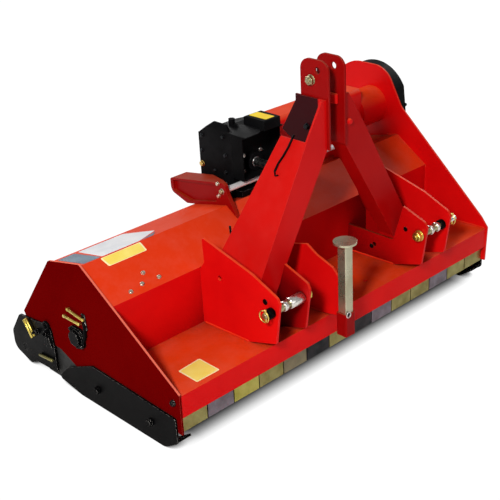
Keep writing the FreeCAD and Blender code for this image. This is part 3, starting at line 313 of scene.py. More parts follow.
redPaint = redFinish("redPaint", 1.0)
# The left end plate's red: a dark copy that is painted shade, with a painted top-light tone and a painted
# edge highlight.
endShadeRed = redFinish("endShadeRed", 0.2, sky=(0.3, (0.95, 0.2, 0.13)), rim=(0.4, (0.85, 0.12, 0.08)), dust=0.0,
                   rough=(0.6, 0.7), constants={"Specular IOR Level": 0.0, "Coat Weight": 0.0})
# A darker copy of the red, painted shade, for the mast ears, the tray and the stand socket.
deepShadeRed = redFinish("deepShadeRed", 0.42, rim=(0.3, (0.7, 0.05, 0.03)), constants=gloss(0.05, 0.02))
# The deck shell's red, with painted shade in its recesses.
shellRed = redFinish("shellRed", 1.0, recess=(0.32, 0.46, 0.9, (0.05, 0.0, 0.001)),
                     constants=gloss(0.05, 0.02))
# The inner clevis plates' red: a slightly darker copy, with deep painted shade in the recesses.
innerShadeRed = redFinish("innerShadeRed", 0.9, recess=(0.3, 0.86, 1.0, (0.03, 0.0, 0.001)))
shadedRed = redFinish("shadedRed", 0.58, rim=(0.3, (0.8, 0.06, 0.04)), constants=gloss(0.05, 0.02))
# Painted shade: a soft-edged box on the upper part of the left leg turns nearly black, and the leg's red is a
# darker copy.
legShade = {"low": (-60, 130, 596), "high": (-28, 340, 800), "color": (0.03, 0.0, 0.002), "soft": 0.006}
legRed = redFinish("legRed", 0.84, sky=(0.25, (0.6, 0.012, 0.006)), zones=[legShade])
blackPaint = finish("blackPaint", {
    "deep": (0.001, 0.001, 0.0013), "bright": (0.002, 0.002, 0.0024), "patch": 6.0, "rough": (0.3, 0.42),
    "edge": 0.002, "wear": 0.1, "dust": 0.005, "grain": (700.0, 0.00005), "wave": (7.0, 0.0006),
    "constants": {"Specular IOR Level": 0.03}})
blackPlastic = finish("blackPlastic", {
    "deep": (0.002, 0.002, 0.0025), "bright": (0.005, 0.0055, 0.006), "patch": 5.0, "rough": (0.36, 0.5),
    "edge": 0.003, "rim": (0.3, (0.012, 0.012, 0.013)), "dust": 0.005, "grain": (1300.0, 0.00008),
    "wave": (6.0, 0.001), "constants": {"Specular IOR Level": 0.03}})
blackCasting = finish("blackCasting", {
    "deep": (0.002, 0.002, 0.0025), "bright": (0.005, 0.005, 0.006), "patch": 9.0, "rough": (0.36, 0.55),
    "edge": 0.003, "rim": (0.4, (0.015, 0.015, 0.016)), "dust": 0.004, "grain": (420.0, 0.0003),
    "wave": (16.0, 0.001), "constants": {"Specular IOR Level": 0.04}})
blackRubber = finish("blackRubber", {
    "deep": (0.006, 0.006, 0.006), "bright": (0.013, 0.013, 0.013), "patch": 12.0, "rough": (0.6, 0.8),
    "edge": 0.001, "dust": 0.15, "grain": (600.0, 0.0001), "wave": (14.0, 0.0008)})
rotorPaint = finish("rotorPaint", {
    "deep": (0.02, 0.02, 0.022), "bright": (0.045, 0.043, 0.042), "patch": 14.0, "rough": (0.4, 0.65),
    "edge": 0.002, "wear": 0.75, "under": (0.35, 0.33, 0.31), "dust": 0.15, "grain": (500.0, 0.0002),
    "wave": (20.0, 0.0008)})


def zinc(name, deep, bright, rough=(0.26, 0.42), patch=18.0):
    return finish(name, {"deep": deep, "bright": bright, "patch": patch, "rough": rough, "metal": 1.0,
                         "edge": 0.0012, "grain": (1500.0, 0.00002), "wave": (22.0, 0.0004)})


oliveZinc = zinc("oliveZinc", (0.24, 0.21, 0.07), (0.36, 0.33, 0.13), (0.36, 0.5))
brightOliveZinc = zinc("brightOliveZinc", (0.36, 0.34, 0.06), (0.5, 0.46, 0.12), (0.32, 0.45))
greyOliveZinc = zinc("greyOliveZinc", (0.19, 0.17, 0.11), (0.27, 0.24, 0.15), (0.36, 0.5))
violetZinc = zinc("violetZinc", (0.15, 0.13, 0.15), (0.24, 0.21, 0.25), (0.34, 0.48))
darkZinc = zinc("darkZinc", (0.015, 0.018, 0.02), (0.04, 0.04, 0.045), (0.3, 0.45))
yellowZinc = zinc("yellowZinc", (0.62, 0.47, 0.08), (0.85, 0.7, 0.2))
paleZinc = zinc("paleZinc", (0.55, 0.50, 0.38), (0.74, 0.70, 0.58), (0.2, 0.34), 30.0)
brightZinc = zinc("brightZinc", (0.62, 0.60, 0.56), (0.82, 0.80, 0.76), (0.22, 0.36), 40.0)
khakiZinc = zinc("khakiZinc", (0.36, 0.33, 0.18), (0.55, 0.50, 0.30), (0.3, 0.45), 40.0)
turnedSteel = zinc("turnedSteel", (0.42, 0.42, 0.42), (0.6, 0.6, 0.6), (0.22, 0.34), 30.0)
brass = zinc("brass", (0.6, 0.38, 0.1), (0.78, 0.55, 0.18), (0.22, 0.34), 40.0)
standZinc = finish("standZinc", {
    "deep": (0.42, 0.40, 0.27), "bright": (0.54, 0.52, 0.38), "patch": 10.0, "rough": (0.24, 0.34),
    "metal": 0.85, "edge": 0.0014, "rim": (0.5, (0.8, 0.78, 0.66)), "grain": (1500.0, 0.00001),
    "wave": (16.0, 0.0001)})
barSteel = finish("barSteel", {
    "deep": (0.8, 0.81, 0.83), "bright": (0.9, 0.91, 0.93), "patch": 10.0, "rough": (0.2, 0.28),
    "metal": 0.35, "edge": 0.0012, "grain": (1500.0, 0.00002), "wave": (22.0, 0.0002)})


def vinyl(name, deep, bright):
    return finish(name, {"deep": deep, "bright": bright, "patch": 9.0, "rough": (0.3, 0.42), "edge": 0.0003,
                         "grain": (900.0, 0.00001), "wave": (30.0, 0.0004)})


hatchYellow = vinyl("hatchYellow", (0.95, 0.62, 0.004), (0.98, 0.72, 0.012))
yellowLabel = vinyl("yellowLabel", (0.92, 0.72, 0.10), (0.96, 0.82, 0.20))
paleYellowLabel = vinyl("paleYellowLabel", (0.95, 0.85, 0.42), (0.97, 0.9, 0.55))
whiteLabel = vinyl("whiteLabel", (0.66, 0.68, 0.72), (0.8, 0.8, 0.82))
blueLabel = vinyl("blueLabel", (0.02, 0.05, 0.10), (0.05, 0.12, 0.19))
print("materials made")


def dress(material, *names):
    for name in names:
        piece = nodes[name]
        if not piece.material_slots:
            piece.data.materials.append(material)
        for slot in piece.material_slots:
            slot.material = material


# Everything is red paint, apart from what the next lines name.
dress(redPaint, *nodes)
dress(endShadeRed, "end_plate_left")
dress(shellRed, "deck_shell")
dress(innerShadeRed, "clevis_plate_b", "clevis_plate_c")
dress(legRed, "mast_leg_left")
dress(shadedRed, "mast_leg_right")
dress(deepShadeRed, "mast_ear_left", "mast_ear_right", "bar_bracket_left", "stand_socket")
dress(blackPaint, "skid_left", "skid_right", "roller_bracket_left", "roller_bracket_right", "rear_roller",
      "rotor_bearing_left", "rotor_bearing_right", "gearbox_saddle")
dress(blackPlastic, "belt_cover", "pto_guard")
dress(blackCasting, "gearbox")
dress(blackRubber, "rear_strip")
dress(rotorPaint, "flail_rotor", "counter_blade")
dress(standZinc, "parking_stand")
dress(khakiZinc, "hitch_pin_left", "hitch_pin_right", "mast_bolt", "flap_rod")
dress(barSteel, "guide_bar")
dress(turnedSteel, "pto_stub")
flapFinishes = [oliveZinc, violetZinc, brightOliveZinc, oliveZinc, greyOliveZinc, darkZinc, oliveZinc,
                darkZinc, violetZinc, oliveZinc, oliveZinc, violetZinc, oliveZinc, oliveZinc]
for index, flapFinish in enumerate(flapFinishes, start=1):
    dress(flapFinish, f"front_flap_{index:02d}")
print("solids dressed")


def pieceFrom(name, mesh, material):
    piece = bpy.data.objects.new(name, mesh)
    bpy.context.scene.collection.objects.link(piece)
    if not mesh.materials:
        mesh.materials.append(material)
    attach(piece, "housing")
    return piece


def meshFrom(name, bm, outwards=True):
    mesh = bpy.data.meshes.new(name)
    if outwards:
        bmesh.ops.recalc_face_normals(bm, faces=bm.faces)
    bm.to_mesh(mesh)
    bm.free()
    return mesh


def turnTo(way):
    return Vector(way).normalized().to_track_quat("Z", "Y").to_matrix()


def ring(bm, place, turn, radius, height, count, phase=0.0):
    angles = [phase + 2 * math.pi * i / count for i in range(count)]
    return [bm.verts.new(place + turn @ Vector((radius * math.cos(a), radius * math.sin(a), height)))
            for a in angles]


def skinRings(bm, rings, smooth=True):
    for low, high in zip(rings, rings[1:]):
        for i in range(len(low)):
            j = (i + 1) % len(low)
            bm.faces.new((low[i], low[j], high[j], high[i])).smooth = smooth


def addLathe(bm, place, turn, profile, count=28):
    # profile: (radius, height) from the seat to the top, closed at both ends.
    rings = [ring(bm, place, turn, radius, height, count) for radius, height in profile]
    skinRings(bm, rings)
    bm.faces.new(rings[-1])
    bm.faces.new(rings[0][::-1])


def addHexHead(bm, place, turn, across, height, phase):
    corner = across / 2 / math.cos(math.pi / 6)
    foot, shoulder = corner * 0.94, height * 0.82
    rings = [ring(bm, place, turn, radius, level, 6, phase)
             for radius, level in ((foot, 0.0), (corner, height * 0.08), (corner, shoulder))]
    skinRings(bm, rings, smooth=False)
    bm.faces.new(rings[0][::-1])
    # The chamfer cuts the six corners down to a round face, four of its points to each flat.
    top = ring(bm, place, turn, across / 2 * 0.94, height, 24, phase)
    last = rings[-1]
    for i in range(6):
        inner = [top[(i * 4 + k) % 24] for k in range(5)]
        bm.faces.new([last[i], last[(i + 1) % 6]] + inner[::-1])
    bm.faces.new(top)


def addThread(bm, place, turn, radius, length):
    pitch, point = 0.0016, 0.0008
    turns = max(2, int(length / pitch))
    profile = []
    for i in range(turns):
        base = length * i / turns
        profile += [(radius * 0.9, base), (radius, base + length / turns * 0.5)]
    profile += [(radius * 0.88, length), (radius * 0.7, length + point)]
    addLathe(bm, place, turn, profile, 20)


def boltSet(name, places, way, size, material):
    # A washer, a hexagon head and sometimes a thread end at each place. Sizes are millimetres.
    bm = bmesh.new()
    turn = turnTo(way)
    washer, washerT, head = (size[key] / 1000 for key in ("washer", "washerT", "head"))
    across, rim = size["across"] / 1000, washer / 2
    firstTurn, nextTurn, threadShare = 0.35, 0.7, 0.31
    for count, spot in enumerate(places):
        addLathe(bm, at(*spot), turn, [(rim * 0.97, 0.0), (rim, washerT * 0.25), (rim, washerT * 0.75),
                                       (rim * 0.96, washerT), (rim * 0.5, washerT)])
        seat = at(*spot) + turn @ Vector((0, 0, washerT))
        addHexHead(bm, seat, turn, across, head, firstTurn + count * nextTurn)
        if "thread" in size:
            tip = seat + turn @ Vector((0, 0, head))
            addThread(bm, tip, turn, across * threadShare, size["thread"] / 1000)
    return pieceFrom(name, meshFrom(name, bm), material)


smallBolt = {"across": 13, "head": 5.5, "washer": 17, "washerT": 1.6}
middleBolt = {"across": 19, "head": 8, "washer": 25, "washerT": 2.5}
largeBolt = {"across": 24, "head": 10, "washer": 32, "washerT": 3}
studNut = {"across": 19, "head": 12, "washer": 26, "washerT": 2.5, "thread": 9}
pinNut = {"across": 36, "head": 20, "washer": 46, "washerT": 4, "thread": 8}
mastNut = {"across": 32, "head": 13, "washer": 40, "washerT": 3.5, "thread": 3}
barNut = {"across": 17, "head": 6, "washer": 23, "washerT": 2}
footBolt = {"across": 8, "head": 5, "washer": 10.5, "washerT": 1.5}

# Deck and its side plates.
deckBolts = {"slope": [(-778, 357, 231), (-720, 366, 236.5), (-645, 364, 235.2), (-688, 398, 257)],
             "shelf": [(-40, 179, -6), (159, 81, -2.6)], "corner": (32, -35),
             "skid": [(164, -170), (470, -170)], "bracket": [(838, -60), (766, -40)]}
slopeNormal = (0, deck["riserTop"] - deck["crestZ"], deck["crestY"] - deck["riserY"])
shelfNormal = (0, 0.035, 1)
boltSet("slope_bolts", deckBolts["slope"], slopeNormal, smallBolt, paleZinc)
boltSet("shelf_bolts", deckBolts["shelf"], shelfNormal, smallBolt, redPaint)
boltSet("corner_bolts_left", [(-faces["plate"], *deckBolts["corner"])], (-1, 0, 0), middleBolt, blackPaint)
for label, size in (("skid", largeBolt), ("bracket", studNut)):
    for side, way in sides.items():
        boltSet(f"{label}_bolts_{side}", [(way * faces["skid"], y, z) for y, z in deckBolts[label]],
                (way, 0, 0), size, blackPaint)

# Nuts on the inner ends of the two lower pins.
innerFaces = {side: hitch["x"] + way * (hitch["halfSpacing"] - hitch["halfGap"] - hitch["plateT"])
              for side, way in sides.items()}
for side, way in sides.items():
    boltSet(f"pin_nut_{side}_inner", [(innerFaces[side], hitch["pinY"], hitch["pinZ"])], (-way, 0, 0),
            pinNut, yellowZinc)

# Gearbox: its left cover, oil plug, shaft guard and feet.
gearboxBolts = {"leftX": -86, "plug": (738, 414), "footZ": 362, "footX": (-92.5, 130.5),
                "footY": (594, 656, 718), "guardY": 554.7, "guardZ": 440, "guardOut": 48, "guardUp": 33,
                "cover": [(597, 408), (738, 470), (730, 536), (664, 400), (596, 480), (604, 556)]}
boltSet("gearbox_cover_bolts", [(gearboxBolts["leftX"], y, z) for y, z in gearboxBolts["cover"]],
        (-1, 0, 0), smallBolt, darkZinc)
boltSet("gearbox_level_plug", [(gearboxBolts["leftX"], *gearboxBolts["plug"])], (-1, 0, 0), middleBolt, brass)
guardCorners = [(hitch["x"] + gearboxBolts["guardOut"] * across, gearboxBolts["guardY"],
                 gearboxBolts["guardZ"] + gearboxBolts["guardUp"] * up)
                for across in (-1, 1) for up in (-1, 1)]
boltSet("guard_bolts", guardCorners, (0, -1, 0), smallBolt, brightZinc)
boltSet("gearbox_foot_bolts", [(x, y, gearboxBolts["footZ"]) for x in gearboxBolts["footX"]
                               for y in gearboxBolts["footY"]], upWay, footBolt, brightZinc)

# Guide bar's tray, mast ears and mast legs.
tray = {"x": -182, "bolts": [(542, 404), (540, 352)], "barNut": (522, 376)}
boltSet("tray_bolts", [(tray["x"], y, z) for y, z in tray["bolts"]], (-1, 0, 0), smallBolt, paleZinc)
boltSet("tray_bar_nut", [(tray["x"], *tray["barNut"])], (-1, 0, 0), barNut, khakiZinc)
mast = {"earFace": 48, "boltY": 172, "boltZ": 852, "legFace": 56.3, "legBolt": (190, 676),
        "webBolt": (92, 100, 680)}
for side, way in sides.items():
    boltSet(f"mast_bolt_nut_{side}", [(hitch["x"] + way * mast["earFace"], mast["boltY"], mast["boltZ"])],
            (way, 0, 0), mastNut, khakiZinc)
boltSet("leg_bolt_left", [(hitch["x"] - mast["legFace"], *mast["legBolt"])], (-1, 0, 0), middleBolt, darkZinc)
boltSet("leg_bolt_right", [mast["webBolt"]], (0, -1, 0), middleBolt, redPaint)


def aroundPoint(x, centre, radius, degrees):
    y, z = centre
    return [(x, y + radius * math.cos(math.radians(a)), z + radius * math.sin(math.radians(a)))
            for a in degrees]


# Bearing flange, belt cover and rear strip.
bearingOffset = 28.5
boltSet("bearing_bolts_left", [(-faces["bearing"], rotorAxis[0] + bearingOffset * back,
                                rotorAxis[1] + bearingOffset * up) for back in (-1, 1) for up in (-1, 1)],
        (-1, 0, 0), smallBolt, blackPaint)
coverScrews = {"headRadius": 166, "headAngles": (-20, 30, 80, 130, 180),
               "footRadius": 76, "footAngles": (180, 250, 320)}
boltSet("belt_cover_screws",
        aroundPoint(faces["cover"], crossShaft, coverScrews["headRadius"], coverScrews["headAngles"])
        + aroundPoint(faces["cover"], rotorAxis, coverScrews["footRadius"], coverScrews["footAngles"]),
        rightWay, smallBolt, darkZinc)
stripBolts = {"y": 903, "z": 20.9, "reach": 800, "pitch": 200}
tailNormal = (0, deck["crownZ"] - deck["tailZ"], deck["tailY"] - deck["crownY"])
boltSet("rear_strip_bolts", [(x, stripBolts["y"], stripBolts["z"]) for x in
                             range(-stripBolts["reach"], stripBolts["reach"] + 1, stripBolts["pitch"])],
        tailNormal, smallBolt, redPaint)
print("bolts placed")


def addRod(bm, start, end, radius):
    along = at(*end) - at(*start)
    r, soft = radius / 1000, min(radius / 1000 * 0.15, along.length / 4)
    addLathe(bm, at(*start), turnTo(along), [(r - soft, 0.0), (r, soft), (r, along.length - soft),
                                             (r - soft, along.length)], 22)


def addWire(bm, points, radius, normal, closed=False, count=10):
    # A bent wire whose points lie in one plane.
    places = [at(*p) for p in points]
    side = Vector(normal).normalized()
    rings = []
    for i, place in enumerate(places):
        after = places[(i + 1) % len(places)] if closed else places[min(i + 1, len(places) - 1)]
        before = places[i - 1] if closed or i else places[0]
        inward = (after - before).normalized().cross(side)
        rings.append([bm.verts.new(place + radius / 1000 * (math.cos(a) * side + math.sin(a) * inward))
                      for a in (2 * math.pi * k / count for k in range(count))])
    skinRings(bm, rings + rings[:1] if closed else rings)
    if not closed:
        bm.faces.new(rings[0][::-1])
        bm.faces.new(rings[-1])


def addSlab(bm, outline, depth, soft=0.8):
    # A flat plate: corners in order, and the way and distance it is thick.
    shift = Vector(depth) / 1000
    low = [bm.verts.new(at(*p)) for p in outline]
    high = [bm.verts.new(at(*p) + shift) for p in outline]
    walls = [bm.faces.new(low[::-1]), bm.faces.new(high)]
    for i in range(len(low)):
        j = (i + 1) % len(low)
        walls.append(bm.faces.new((low[i], low[j], high[j], high[i])))
    edges = {edge for face in walls for edge in face.edges}
    bmesh.ops.bevel(bm, geom=list(edges), offset=soft / 1000, segments=2, affect="EDGES")


def circlePoints(centre, radius, first, second, count=24):
    angles = [2 * math.pi * i / count for i in range(count)]
    return [tuple(centre[k] + radius * (math.cos(a) * first[k] + math.sin(a) * second[k]) for k in range(3))
            for a in angles]


def smallPart(name, material, build):
    bm = bmesh.new()
    build(bm)
    return pieceFrom(name, meshFrom(name, bm), material)


def rods(*runs):
    # Straight round bars, each from a start to an end with a radius.
    def build(bm):
        for start, end, radius in runs:
            addRod(bm, start, end, radius)
    return build


def onLeftEnd(out, y, z):
    return (-faces["plate"] - out, y, z)


# Grease pipes on the left end; the upper pair stands off the plate on elbows.
bearingPipes = {"runs": [((597, 122), (507, 112)), ((628, 84), (537, 84))], "out": 9, "radius": 5.5,
                "elbow": 6.5, "elbowOut": 13}
bracketPipes = {"runs": [((916, -34), (871, -99)), ((900, -22), (852, -84))], "out": 16, "radius": 5.5}


def greasePipes(pipes):
    def build(bm):
        for start, end in pipes["runs"]:
            addRod(bm, onLeftEnd(pipes["out"], *start), onLeftEnd(pipes["out"], *end), pipes["radius"])
            if "elbow" in pipes:
                for y, z in (start, end):
                    addRod(bm, onLeftEnd(0, y, z), onLeftEnd(pipes["elbowOut"], y, z), pipes["elbow"])
    return build


# The first number of the path, and every out, is a distance out from the end plate's face.
bearingStrap = {"path": [(7, 508, 104), (9, 500, 80), (9, 505, 46), (9, 524, 8), (9, 548, -18),
                         (9, 566, -24), (7, 578, -10)], "radius": 6.5,
                "tab": [(520, 68), (520, 132), (500, 132), (494, 68)], "tabOut": 0.3, "tabT": 5}


def buildBearingStrap(bm):
    addWire(bm, [onLeftEnd(*p) for p in bearingStrap["path"]], bearingStrap["radius"], rightWay)
    addSlab(bm, [onLeftEnd(bearingStrap["tabOut"], y, z) for y, z in bearingStrap["tab"]],
            (-bearingStrap["tabT"], 0, 0))


liftingEye = {"centre": (766, -8), "ring": 15, "wire": 5, "out": 9, "stem": [(766, -23), (768, -88)],
              "stemRadius": 6.5, "foot": [(740, -100), (796, -100), (782, -62), (756, -62)],
              "footOut": 8.3, "footT": 6}


def buildLiftingEye(bm):
    addWire(bm, circlePoints(onLeftEnd(liftingEye["out"], *liftingEye["centre"]), liftingEye["ring"],
                             backWay, upWay), liftingEye["wire"], rightWay, True)
    top, bottom = (onLeftEnd(liftingEye["out"], *p) for p in liftingEye["stem"])
    addRod(bm, top, bottom, liftingEye["stemRadius"])
    addSlab(bm, [onLeftEnd(liftingEye["footOut"], y, z) for y, z in liftingEye["foot"]],
            (-liftingEye["footT"], 0, 0))


skidPin = {"out": 15, "start": (838, -163), "end": (747, -154), "radius": 6}
smallPart("bearing_grease_pipes", yellowZinc, greasePipes(bearingPipes))
smallPart("bracket_grease_pipes", yellowZinc, greasePipes(bracketPipes))
smallPart("bearing_strap", blackPaint, buildBearingStrap)
smallPart("lifting_eye", blackPaint, buildLiftingEye)
smallPart("skid_pin", oliveZinc, rods((onLeftEnd(skidPin["out"], *skidPin["start"]),
                                       onLeftEnd(skidPin["out"], *skidPin["end"]), skidPin["radius"])))

# Rubber that closes the gap between the skid and the roller, inside the end plate.
sideRubber = {"outline": [(598, -110), (612, -196), (676, -234), (818, -232), (868, -200), (868, -112),
                          (720, -78)], "x": 876.7, "thick": 5, "soft": 0.6}


def buildSideRubber(way):
    outline = [(way * sideRubber["x"], y, z) for y, z in sideRubber["outline"]]
    return lambda bm: addSlab(bm, outline, (-way * sideRubber["thick"], 0, 0), sideRubber["soft"])


for side, way in sides.items():
    smallPart(f"side_rubber_{side}", blackRubber, buildSideRubber(way))

# What sits on the lower pins: each run has its two ends along x and its radius.
pinParts = {
    "pin_collar_left": (blackPaint, "black_paint", [(-473.8, -501, 20)]),
    "pin_end_left": (khakiZinc, "zinc_steel", [(-500, -517, 11)]),
    "pin_bush_left": (brightZinc, "zinc_steel", [(-394, -324, 21), (-425, -405, 19)]),
    "pin_rings_right": (brightZinc, "zinc_steel", [(412, 428, 20), (452, 468, 20)]),
    "pin_bush_right": (blackPaint, "black_paint", [(478, 501, 21)]),
    "pin_end_right": (brightZinc, "zinc_steel", [(532, 584, 11)])}
linchPins = {"left": -508, "right": 566}
linchPin = {"up": 24, "down": 26, "radius": 5, "ring": 22, "wire": 2.6, "ringBack": 7}


def onPin(x):
    return (x, hitch["pinY"], hitch["pinZ"])


def buildLinchPin(x):
    # The pin goes through the hitch pin's end; its ring folds over it.
    y, z = hitch["pinY"], hitch["pinZ"]

    def build(bm):
        addRod(bm, (x, y, z + linchPin["up"]), (x, y, z - linchPin["down"]), linchPin["radius"])
        addWire(bm, circlePoints(onPin(x - linchPin["ringBack"]), linchPin["ring"], backWay, upWay),
                linchPin["wire"], rightWay, True, 8)
    return build


for name, (material, slotName, runs) in pinParts.items():
    smallPart(name, material, rods(*[(onPin(start), onPin(end), radius) for start, end, radius in runs]))
for side, x in linchPins.items():
    smallPart(f"linch_pin_{side}", yellowZinc, buildLinchPin(x))

# Small holes: two in the right clevis are dark discs, painted shade for the inside of each hole, and a
# plugged one in the left.
plateHoles = {"x": innerFaces["right"] - 0.2, "places": [(32, 172), (209, 44)], "radius": 10, "thick": 1}
for y, z in plateHoles["places"]:
    start, end = ((plateHoles["x"] - inwards, y, z) for inwards in (0, plateHoles["thick"]))
    smallPart(f"plate_hole_{y}", blackPaint, rods((start, end, plateHoles["radius"])))
plug = {"start": (-473.2, -4, 194), "end": (-476, -4, 194), "radius": 11}
smallPart("plate_plug_left", blackPaint, rods((plug["start"], plug["end"], plug["radius"])))


def laidOn(surface, corners):
    return [(x, y, surface(y)) for x, y in corners]


# A slot in the slope, drawn as a thin black strip of painted shade for its dark inside.
slopeSlot = {"corners": laidOn(slopeZ, [(-278, 379), (-240, 428), (-232, 426), (-270, 377)]),
             "depth": (0, -0.8, 1.2), "soft": 0.2}
smallPart("slope_slot", blackPaint,
          lambda bm: addSlab(bm, slopeSlot["corners"], slopeSlot["depth"], slopeSlot["soft"]))
earBlock = {"x": 56.7, "outline": [(118, 752), (156, 752), (156, 790), (118, 790)], "thick": 14, "soft": 3}
smallPart("ear_block", redPaint, lambda bm: addSlab(
    bm, [(earBlock["x"], y, z) for y, z in earBlock["outline"]], (-earBlock["thick"], 0, 0),
    earBlock["soft"]))

# Keeper rod of the gusset's bolt, hooked on the leg's leaning outer flange.
keeper = {"path": [(-128, 168, 672), (-141, 168, 660), (-157, 172, 632), (-175, 183, 600), (-188, 194, 576),
                   (-205, 198, 549), (-214, 188, 536), (-208, 178, 540)],
          "radius": 4.2, "normal": (0.3, 1, 0.1)}
smallPart("keeper_rod", blackPaint, lambda bm: addWire(bm, keeper["path"], keeper["radius"],
                                                       keeper["normal"]))
standPin = {"start": (-149, -98, 40), "end": (-149, -104, 40), "radius": 8, "ringMiddle": (-149, -103.6, 40),
            "ring": 11, "wire": 2}
smallPart("stand_pin", darkZinc, rods((standPin["start"], standPin["end"], standPin["radius"])))
smallPart("stand_pin_rim", brightZinc, lambda bm: addWire(
    bm, circlePoints(standPin["ringMiddle"], standPin["ring"], rightWay, upWay), standPin["wire"], backWay,
    True, 8))
print("small parts placed")

# Stacked-coin beads, half sunk into their corners.
weld = {"step": 0.0028, "sides": 8, "coin": 0.16, "drift": 0.05, "endShare": 0.35}


def weldBead(name, points, radius):
    bm = bmesh.new()
    places = [at(*p) for p in points]
    for start, end in zip(places, places[1:]):
        along = end - start
        samples = max(2, int(along.length / weld["step"]))
        rings = []
        for i in range(samples + 1):
            pulse = 1.0 + weld["coin"] * math.sin(i * 1.9) + weld["drift"] * math.sin(i * 0.37)
            taper = weld["endShare"] if i in (0, samples) else 1.0
            rings.append(ring(bm, start + along * (i / samples), turnTo(along),
                              radius / 1000 * pulse * taper, 0, weld["sides"]))
        skinRings(bm, rings)
        bm.faces.new(rings[0][::-1])
        bm.faces.new(rings[-1])
    return pieceFrom(name, meshFrom(name, bm, outwards=False), redPaint)


def overShelf(x, y):
    return (x, y, shelfZ(y) + 1)


# Each clevis plate is welded on both sides: its clevis's side, then the way it lies from the clevis's middle.
clevisPlates = {"a": (-1, -1), "b": (-1, 1), "c": (1, -1), "d": (1, 1)}
clevisWeld = {"start": 92, "end": 330, "radius": 3.6}
for label, (clevis, way) in clevisPlates.items():
    face = hitch["x"] + clevis * hitch["halfSpacing"] + way * hitch["halfGap"]
    for far in (0, hitch["plateT"]):
        run = [overShelf(face + way * far, y) for y in (clevisWeld["start"], clevisWeld["end"])]
        weldBead(f"clevis_weld_{label}_{far}", run, clevisWeld["radius"])
standWeld = {"start": (-142, 44, 0.5), "end": overShelf(-142, 330), "radius": 3.2}
weldBead("stand_plate_weld", [standWeld["start"], standWeld["end"]], standWeld["radius"])
rightWeld = {"path": [(876, 8, 1), overShelf(876, 330), (876, 337, 0), (876, 337, 212), (876, 500, 322),
                      (876, 560, 312)], "radius": 3.4}
weldBead("right_plate_weld", rightWeld["path"], rightWeld["radius"])
print("welds laid")

labelShape = {"corner": 0.006, "border": 0.007, "foot": 0.0001, "lift": 0.0005, "step": 0.00002}


def labelSheet(name, corners, material, borderMaterial=None):
    # A blank printed label on a surface, with rounded corners and a border.
    places = [at(*corner) for corner in corners]
    normal = (places[1] - places[0]).cross(places[-1] - places[0]).normalized()
    if normal.z < 0:
        normal = -normal
    middle = sum(places, Vector()) / len(places)
    bm = bmesh.new()

    def outline(shrink, height):
        verts = []
        for i, corner in enumerate(places):
            before, after = places[i - 1], places[(i + 1) % len(places)]
            a = corner + (before - corner).normalized() * labelShape["corner"]
            b = corner + (after - corner).normalized() * labelShape["corner"]
            for k in range(5):
                t = k / 4
                point = a * (1 - t) ** 2 + corner * 2 * t * (1 - t) + b * t ** 2
                point = point + (middle - point).normalized() * shrink
                verts.append(bm.verts.new(point + normal * height))
        return verts

    foot = outline(0.0, labelShape["foot"])
    edge = outline(0.0, labelShape["lift"])
    inner = outline(labelShape["border"], labelShape["lift"] + labelShape["step"])
    skinRings(bm, [foot, edge], smooth=False)
    for i in range(len(edge)):
        j = (i + 1) % len(edge)
        bm.faces.new((edge[i], edge[j], inner[j], inner[i])).material_index = 1
    bm.faces.new(inner)
    mesh = meshFrom(name, bm)
    mesh.materials.append(material)
    mesh.materials.append(borderMaterial or material)
    return pieceFrom(name, mesh, material)


hatchTop = 640
labelSheet("shelf_label", [(-781, 27, -0.96), (-676, 27, -0.96), (-670, 142, -5.04), (-775, 134, -4.76)],
           yellowLabel, paleYellowLabel)
labelSheet("hatch_label", [(x, y, hatchTop) for x, y in ((-4, 442), (46, 442), (42, 534), (-8, 534))],
           hatchYellow)
labelSheet("slope_label", laidOn(slopeZ, [(-783, 463), (-611, 463), (-613, 498), (-793, 498)]), yellowLabel,
           paleYellowLabel)
labelSheet("top_label", laidOn(topZ, [(-778, 506), (-612, 506), (-498, 556), (-560, 676), (-768, 676)]),
           whiteLabel)
labelSheet("top_label_tail", laidOn(topZ, [(-600, 506), (-545, 506), (-508, 540), (-560, 522)]), blueLabel)
labelSheet("top_label_end", laidOn(topZ, [(-858, 506), (-784, 506), (-784, 676), (-858, 676)]), blueLabel)
print("labels laid")

# The photograph's ground is plain white, so the camera sees the open floor as a white light,
# and it falls off to shade only where the machine covers it.
floorLook = {"radius": 40, "below": 0.0005, "tone": (0.92, 0.92, 0.92), "white": 1.05, "reach": 0.45,
             "shade": (0.1, 0.4), "underLow": (-868, 20, -900), "underHigh": (868, 870, 900), "soft": 0.1,
             "rough": 0.9}
bm = bmesh.new()
bmesh.ops.create_circle(bm, cap_ends=True, segments=96, radius=floorLook["radius"])
floor = bpy.data.objects.new("floor", meshFrom("floor", bm, outwards=False))
floor.location.z = cadLow.z - floorLook["below"]
bpy.context.scene.collection.objects.link(floor)
floorMaterial, floorTree, floorShader = newMaterial(
    "paleFloor", {"Base Color": rgb(*floorLook["tone"]), "Roughness": floorLook["rough"]})
covered = addNode(floorTree, "ShaderNodeAmbientOcclusion", {"Distance": floorLook["reach"]}, samples=32)
openGlow = remap(floorTree, covered.outputs["AO"], *floorLook["shade"], 0.0, floorLook["white"])
under = useGroup(floorTree, zoneMask, {"Low": at(*floorLook["underLow"]), "High": at(*floorLook["underHigh"]),
                                       "Softness": floorLook["soft"]})["Mask"]
glow = mathNode(floorTree, "MULTIPLY", openGlow, mathNode(floorTree, "SUBTRACT", 1.0, under))
floorGlow = addNode(floorTree, "ShaderNodeEmission", {"Color": rgb(1.0, 1.0, 1.0), "Strength": glow})
floorSeen = addNode(floorTree, "ShaderNodeLightPath").outputs["Is Camera Ray"]
floorBlend = addNode(floorTree, "ShaderNodeMixShader", {"Fac": floorSeen})
feed(floorTree, floorBlend.inputs[1], floorShader.outputs[0])
feed(floorTree, floorBlend.inputs[2], floorGlow.outputs[0])
feed(floorTree, floorTree.nodes["Material Output"].inputs["Surface"], floorBlend.outputs[0])
floor.data.materials.append(floorMaterial)

